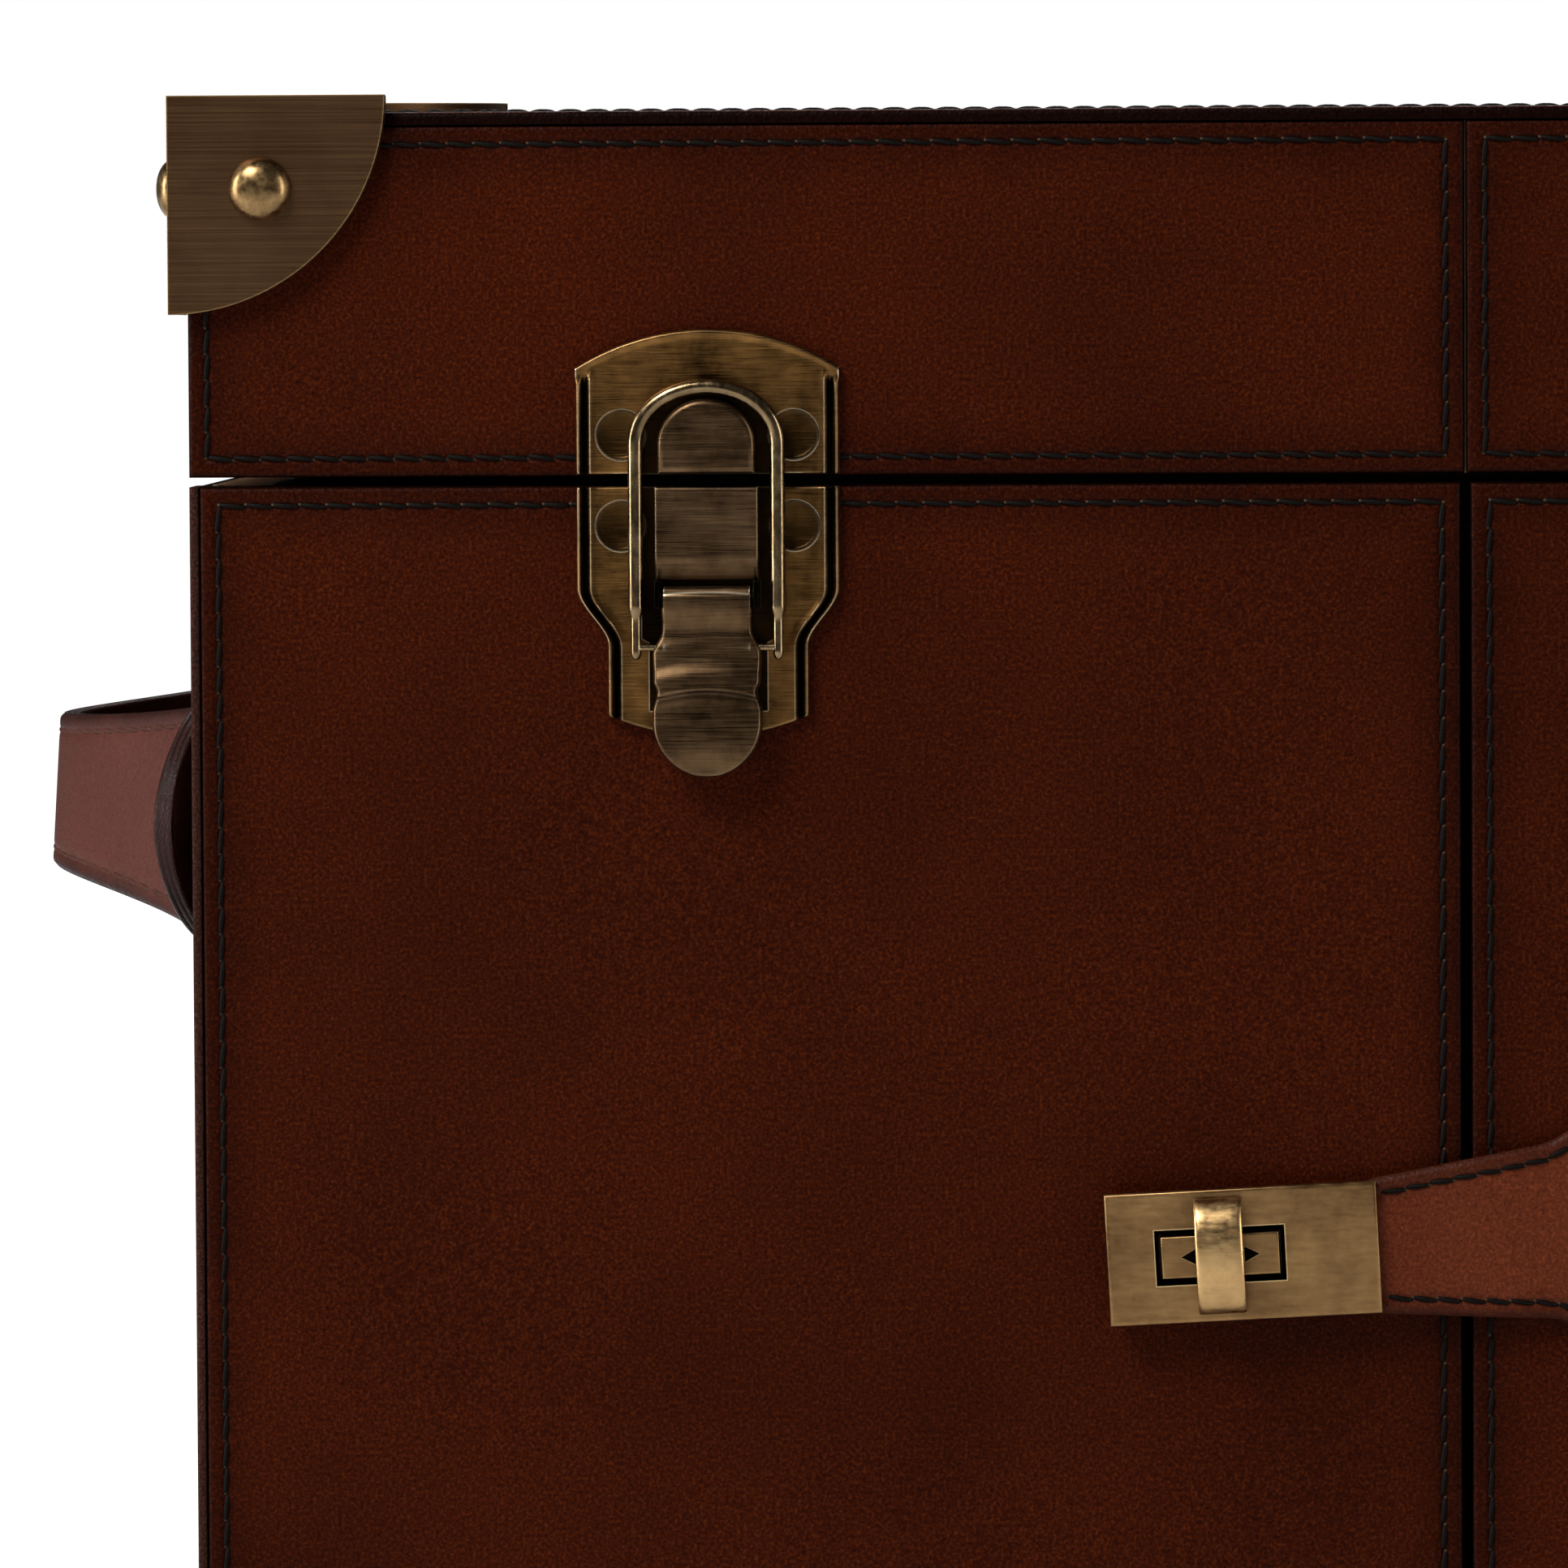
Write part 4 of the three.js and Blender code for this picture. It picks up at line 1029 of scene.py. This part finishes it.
# ---- Closure strap and turnlock ----
# Millimetres about the knob's middle, with y = 0 on the front leather.
TILT = math.radians(3)
KNOB = sum(box_mm("turn_knob"), Vector()) / 2
LOCK = Matrix.Translation((KNOB.x, FRONT, KNOB.z)) @ Matrix.Rotation(-TILT, 4, "Y")
PLATE_LEFT, PLATE_RIGHT, PLATE_HALF = -15.5, 21.7, 9.05
FOLD_AT, PAD_AT, PAD_RADIUS = 41.5, 59.5, 17.0
STRAP_FRONT, PAD_FRONT, STRAP_THICK, STRAP_INSET = 3.4, 2.3, 2.0, 2.2
fold_start, fold_end = (tuple(LOCK @ Vector((FOLD_AT + reach, -3, 0)) * MM) for reach in (4, -4))


def in_lock(mould):
    """Places points given in millimetres about the knob, with y = 0 on the front leather."""
    mould.points = [LOCK @ p for p in mould.points]
    return mould


def strap_half(x):
    """Half the strap's width: even under the plate, then widening into the round pad."""
    if x < PLATE_RIGHT - 0.2:
        return 8.65
    flare = 9.3 + (x - PLATE_RIGHT) * 0.115
    pad = math.sqrt(max(PAD_RADIUS**2 - (x - PAD_AT) ** 2, 0.01))
    if x > PAD_AT:
        return pad
    return (flare**10 + pad**10) ** 0.1


def strap_middle(x):
    """The strap bends up a little more than its plate does."""
    return max(x - PLATE_RIGHT, 0) * 0.03


def strap_level(x):
    """How far the strap's front stands before the door: flat on the pad and raised over the lock."""
    return STRAP_FRONT + eased([(-FOLD_AT + 6, 0), (-FOLD_AT - 8, PAD_FRONT - STRAP_FRONT)], -x)


def strap_point(x, v):
    """A point on the strap's front, where v runs from -1 to 1 across it, and its distance from the edge."""
    half = strap_half(x)
    gap = half * (1 - abs(v))
    level = strap_level(x) - 0.5 * max(1 - gap / 0.8, 0) ** 2
    level -= 0.25 * bell(gap, STRAP_INSET, 0.45)
    level += 0.12 * bell(gap, 1.1, 0.5)
    return Vector((x, -level, v * half + strap_middle(x))), gap


def strap():
    """The strap from under its plate to the end of its pad, with the plate's slot cut through it."""
    xs = spaced(PLATE_LEFT + 0.4, PLATE_RIGHT, 18) + spaced(PLATE_RIGHT, PAD_AT, 46)[1:]
    xs += [PAD_AT + PAD_RADIUS * math.sin(math.pi / 2 * i / 16) for i in range(1, 16)]
    xs.append(PAD_AT + PAD_RADIUS - 0.02)
    vs = mirrored([-1, -0.98, -0.95, -0.91, -0.87, -0.83, -0.79, -0.75, -0.71, -0.66], 12)
    slot_reach, slot_half = 9.0, 3.8
    points, edge = [], []
    for behind in (False, True):
        for x in xs:
            for v in vs:
                p, gap = strap_point(x, v)
                if behind:
                    p.y = STRAP_THICK - strap_level(x)
                points.append(p)
                edge.append(0.0 if behind else min(gap / 6, 1))
    nx, nv = len(xs), len(vs)
    behind = nx * nv

    def open_cell(i, j):
        x = (xs[i] + xs[i + 1]) / 2
        z = (vs[j] + vs[j + 1]) / 2 * strap_half(x)
        return abs(x) < slot_reach and abs(z) < slot_half

    faces = []
    for i in range(nx - 1):
        for j in range(nv - 1):
            if open_cell(i, j):
                continue
            a, b, c, d = (k * nv + l for k, l in ((i, j), (i, j + 1), (i + 1, j + 1), (i + 1, j)))
            faces.append((a, d, c, b))
            faces.append(tuple(behind + k for k in (a, b, c, d)))
            around = [((i - 1, j), (a, b)), ((i, j + 1), (b, c)), ((i + 1, j), (c, d)), ((i, j - 1), (d, a))]
            for (ni, nj), (p, q) in around:
                outside = not (0 <= ni < nx - 1 and 0 <= nj < nv - 1)
                if outside or open_cell(ni, nj):
                    faces.append((p, q, behind + q, behind + p))
    mould = Mould()
    mould.add(points, faces, edge=edge)
    replaced = ["closure_strap", "strap_pad"]
    obj = in_lock(mould).finish("strap_hide", STRAP_HIDE, None, "strap_leather", replaced)
    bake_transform(obj)
    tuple(fold_start)
    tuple(fold_end)


def strap_stitches():
    """One row of stitches runs up the strap, round the pad and back."""
    runs = spaced(PLATE_RIGHT + 0.8, PAD_AT, 40)
    reach = PAD_RADIUS - STRAP_INSET
    path = []
    for x in runs:
        path.append(Vector((x, 0.1 - strap_level(x), strap_half(x) - STRAP_INSET + strap_middle(x))))
    for a in spaced(math.pi / 2, -math.pi / 2, 24)[1:-1]:
        rim = Vector((reach * math.cos(a), -PAD_FRONT, reach * math.sin(a)))
        path.append(rim + Vector((PAD_AT, 0.1, strap_middle(PAD_AT))))
    for x in reversed(runs):
        path.append(Vector((x, 0.1 - strap_level(x), STRAP_INSET - strap_half(x) + strap_middle(x))))
    threads = Mould()
    stitch_run(threads, path, [-Y] * len(path), 3.3)
    sewing = in_lock(threads).finish("strap_stitches", THREAD, None, "strap_leather", flat_angle=80)
    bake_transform(sewing)
    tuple(fold_start)
    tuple(fold_end)


def slotted_plate():
    """The brass plate at the strap's end. The walls of its slot carry painted shade."""
    back, front, turns = 3.7, 4.9, (0.52, 1.05, 1.57)
    outer = box_outline(PLATE_LEFT, PLATE_RIGHT, -PLATE_HALF, PLATE_HALF)
    slot = box_outline(-9.1, 9.1, -4.0, 4.0)
    rings, soot = [], []
    # Painted shade: the slot's walls are near black, fading out on the front bevel.
    for outline, grow, soft, painted_shade_and_marks in ((outer, 1, 0.35, [0] * 7), (slot, -1, 0.2, [1, 1, 1, 1, 1, 0.6, 0])):
        levels = [(0, back), (0, front - soft)]
        levels += [(soft * (1 - math.cos(a)), front - soft + soft * math.sin(a)) for a in turns]
        levels += [(soft + 0.25, front), (soft + 0.5, front)]
        middle_x = sum(x for x, _ in outline) / 4
        for (step, depth), dark in zip(levels, painted_shade_and_marks):
            ring = []
            for x, z in outline:
                dx = math.copysign(step * grow, middle_x - x)
                dz = math.copysign(step * grow, -z)
                ring.append(Vector((x + dx, -depth, z + dz)))
            rings.append(ring)
            soot += [dark] * 4
    # The rings run up the outside and up the slot, and then join across the front and the back.
    joins = [(i, i + 1) for i in range(6)] + [(i + 1, i) for i in range(7, 13)] + [(6, 13), (7, 0)]
    loops = [list(range(i, i + 4)) for i in range(0, 4 * len(rings), 4)]
    faces = [face for near, far in joins for face in joined(loops[near], loops[far])]
    plate = Mould()
    plate.add([p for ring in rings for p in ring], faces, soot=soot)
    in_lock(plate).finish("slotted_plate", TURNLOCK, "strap", "turnlock_brass", ["strap_plate"])


def turnlock_seat():
    """A long oval with the boss that fills the slot, which has a notch either side of the knob."""
    seat = Mould()
    oblong = []
    for end in (1, -1):
        for a in spaced(-math.pi / 2, math.pi / 2, 16):
            oblong.append((end * (8 + 6 * math.cos(a)), end * 6 * math.sin(a)))
    # Painted shadow: the oval under the plate, seen through the slot, is dark.
    bevelled(seat, oblong, 0.3, 1.1, 0.3, painted_shade_and_marks=0.8)
    bevelled(seat, box_outline(-8.1, 8.1, -2.9, 2.9), 0.9, 4.95, 0.3)
    for side in (-1, 1):
        notch = [(side * 5.4, 0), (side * 3.3, side * 1.1), (side * 3.3, side * -1.1)]
        bevelled(seat, notch, 4.8, 4.98, 0.02, painted_shade_and_marks=1.0)
    in_lock(seat).finish("turnlock_seat", TURNLOCK, "left_door", "turnlock_brass", ["turnlock_base"])


def knob():
    """A strip bent into an arch, with flat sides and its ends turned in, on a round stem."""
    half_width, half_length, foot, rise, thick = 3.25, 7.95, 5.75, 3.75, 1.5
    across = mirrored([-1, -0.97, -0.9, -0.8, -0.5], 2)
    rings = []
    for t in spaced(-1, 1, 36):
        z = half_length * math.sin(t * math.pi / 2)
        crown = max(1 - abs(z / half_length) ** 2.6, 0) ** 0.62
        outside = foot + rise * crown
        inside = max(foot - 0.05, outside - thick)
        ring = []
        for c in across:
            soft = 0.35 * max((abs(c) - 0.8) / 0.2, 0) ** 2
            ring.append(Vector((c * half_width, soft - outside - 0.05, z)))
        for c in reversed(across):
            ring.append(Vector((c * half_width, -inside, z * 0.97)))
        rings.append(ring)
    points, faces = sweep_rings(rings)
    toggle = Mould()
    toggle.add(points, [tuple(reversed(f)) for f in faces], soot=0.0)
    # Painted shade on the stem under the arch.
    toggle.add(*lathe([(0, 3.0), (1.5, 3.0), (1.5, 7.5), (0, 7.5)], Vector(), -Y, 24), soot=0.6)
    in_lock(toggle).finish("knob", KNOB_BRASS, "turn_knob", "turnlock_brass", ["turn_knob"], flat_angle=50)


# ---- Side handles ----
# Millimetres: y along the wall from the handle's middle, and x outward from the wall.
TAB_AT, TAB_RADIUS, TAB_LIFT, TAB_SAG = 50.0, 16.5, 4.0, 2.2
BAND_HALF, BAND_THICK, BAND_SEAT, BAND_CREST = 11.0, 3.0, 3.5, 25.6
HANDLE_INSET, THREAD_SUNK = 2.5, 0.3
BAND_STEPS = [0.0, 0.25, 0.55, 0.9, 1.3, 1.7, 2.1, 2.5, 2.9, 3.4, 4.5, 6.5]
# The band's edge shows its three layers: [how far in from the edge, how far out from the middle].
BAND_LAYERS = [
    (0.5, -1.0), (0.12, -0.9), (0, -0.7), (0, -0.48), (0.16, -0.36), (0, -0.24), (0, 0.12), (0.16, 0.24),
    (0, 0.36), (0, 0.6),
]


def band_rise(y):
    """How far the band's middle line stands off the wall: a bow between the tabs, which curl up a little."""
    t = abs(y) / TAB_AT
    if t < 1:
        return BAND_SEAT + BAND_CREST * (1 - t**2) ** 1.5
    return BAND_SEAT + TAB_LIFT * ((abs(y) - TAB_AT) / TAB_RADIUS) ** 2


def band_half(y):
    """Half the band's width: it widens from the grip into round tabs."""
    t = abs(y) / TAB_AT
    if t < 1:
        return BAND_HALF + (TAB_RADIUS - BAND_HALF) * t * t
    return math.sqrt(max(TAB_RADIUS**2 - (abs(y) - TAB_AT) ** 2, 0.02))


def band_normal(y):
    """The band's outward direction in x and y."""
    step = 0.05
    along = Vector((band_rise(y + step) - band_rise(y - step), 2 * step)).normalized()
    return Vector((along.y, -along.x))


def band_spot(y, level):
    """A point that stands level off the band's middle line, in x and y."""
    return Vector((band_rise(y), y)) + band_normal(y) * level


def band_sag(y):
    """The grip stands a little higher than its two tabs."""
    return -TAB_SAG * min(abs(y) / TAB_AT, 1) ** 2


def band_lean(y, z):
    """The grip's lower edge stands out further than its upper edge."""
    return -0.06 * z * max(1 - (y / TAB_AT) ** 2, 0)


def handle_band():
    """The band's mesh with how far each point is from the edge."""
    tab = [TAB_AT + TAB_RADIUS * math.sin(a) for a in spaced(0, math.pi / 2 - 0.01, 24)]
    ys = [-y for y in reversed(tab)] + spaced(-TAB_AT, TAB_AT, 56)[1:-1] + tab
    half_thick = BAND_THICK / 2
    rings, edge = [], []
    for y in ys:
        half = band_half(y)
        steps = [f for f in BAND_STEPS if f < half * 0.9] or [0.0]
        while len(steps) < len(BAND_STEPS):
            steps.append(steps[-1] + (half - steps[-1]) * 0.3)
        section = []
        for z, gap in [(half - f, f) for f in steps] + [(f - half, f) for f in reversed(steps)]:
            level = half_thick - 0.7 * max(1 - gap / 0.9, 0) ** 2 - 0.22 * bell(gap, HANDLE_INSET, 0.45)
            section.append((z, level))
            edge.append(min(gap / 5, 1))
        for sign, layers in ((-1, reversed(BAND_LAYERS)), (1, BAND_LAYERS)):
            for step, out in layers:
                section.append((sign * max(half - step, 0), half_thick * out))
                edge.append(0.0)
        ring = []
        for z, level in section:
            p = band_spot(y, level)
            ring.append(Vector((p.x + band_lean(y, z), p.y, z + band_sag(y))))
        rings.append(ring)
    return *sweep_rings(rings), edge


def handle_stitches(outward):
    """Sunk stitches along both edges of the grip and round the tabs."""
    reach = TAB_RADIUS - HANDLE_INSET
    paths = []
    for side in (-1, 1):
        paths.append([(y, side * (band_half(y) - HANDLE_INSET)) for y in spaced(-TAB_AT, TAB_AT, 60)])
    for end in (-1, 1):
        angles = spaced(-math.pi / 2, math.pi / 2, 24)
        paths.append([(end * (TAB_AT + reach * math.cos(a)), reach * math.sin(a)) for a in angles])
    threads = Mould()
    for path in paths:
        spots, normals = [], []
        for y, from_middle in path:
            p = band_spot(y, BAND_THICK / 2 - THREAD_SUNK)
            z = from_middle + band_sag(y)
            spots.append(outward(Vector((p.x + band_lean(p.y, z), p.y, z))))
            normals.append((outward(band_normal(y).to_3d()) - outward(Vector())).normalized())
        stitch_run(threads, spots, normals)
    return threads


def side_handle(name, side):
    """One handle: the band, its stitches and, at each tab, a rivet over a leather washer."""
    low, high = box_mm(f"handle_{name}")
    centre = Vector((side * HALF_WIDTH, (low.y + high.y) / 2, (low.z + high.z) / 2))

    def outward(p):
        return centre + Vector((side * p.x, p.y, p.z))

    points, faces, edge = handle_band()
    if side > 0:
        faces = [tuple(reversed(f)) for f in faces]
    band = Mould()
    band.add([outward(p) for p in points], faces, edge=edge)
    replaced = [f"handle_{name}"]
    band.finish(f"handle_hide_{name}", HANDLE_HIDE, "case", "handle_leather", replaced, flat_angle=50)
    threads = handle_stitches(outward)
    threads.finish(f"handle_stitches_{name}", HANDLE_THREAD, "case", "handle_leather", flat_angle=80)
    rivets, washers = Mould(), Mould()
    for end in (-1, 1):
        foot = Vector((0.3, end * TAB_AT, -TAB_SAG))
        washers.add(*lathe([(0, 0), (10, 0), (10, 2.4), (0, 2.4)], outward(foot), X * side), edge=0.0)
        seat = Vector((BAND_SEAT + BAND_THICK / 2, end * TAB_AT, -TAB_SAG))
        rivets.add(*dome(outward(seat), X * side))
    rivets.finish(f"handle_rivets_{name}", RIVET, "case", "handle_leather")
    washers.finish(f"handle_washers_{name}", EDGE_HIDE, "case", "handle_leather")


# ---- Floor and finish ----
def floor():
    """A pale floor that fades to plain white away from the case."""
    bpy.ops.mesh.primitive_plane_add(size=12, location=(0, 0, 0))
    plane = bpy.context.object
    plane.name = "floor"
    s = Surface("floor_white", roughness=0.9)
    s.colour((0.82, 0.82, 0.82))
    s.feed(s.shader.inputs["Emission Color"], (1, 1, 1))
    away = s.nodes.new("ShaderNodeVectorMath")
    away.operation = "LENGTH"
    s.links.new(s.place, away.inputs[0])
    fade = s.ramp(s.maths("MULTIPLY", away.outputs["Value"], 0.5), (0.25, 0.1), (0.6, 1.0))
    seen = s.nodes.new("ShaderNodeLightPath").outputs["Is Camera Ray"]
    s.feed(s.shader.inputs["Emission Strength"], s.maths("MULTIPLY", fade, seen))
    plane.data.materials.append(s.material)


def cad_finishes():
    """Materials for the CAD nodes that stay in view."""
    kept = {"hinge": HINGE, "board": PLYWOOD, "rim": PLYWOOD}
    for node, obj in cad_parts.items():
        for word, material in kept.items():
            if word in node:
                obj.data.materials.clear()
                obj.data.materials.append(material)


leather_covering()
linings()
corner_brackets()
for latch_name in SIDES:
    latch(latch_name)
strap()
strap_stitches()
slotted_plate()
turnlock_seat()
knob()
for handle_name, handle_side in SIDES.items():
    side_handle(handle_name, handle_side)
cad_finishes()
floor()
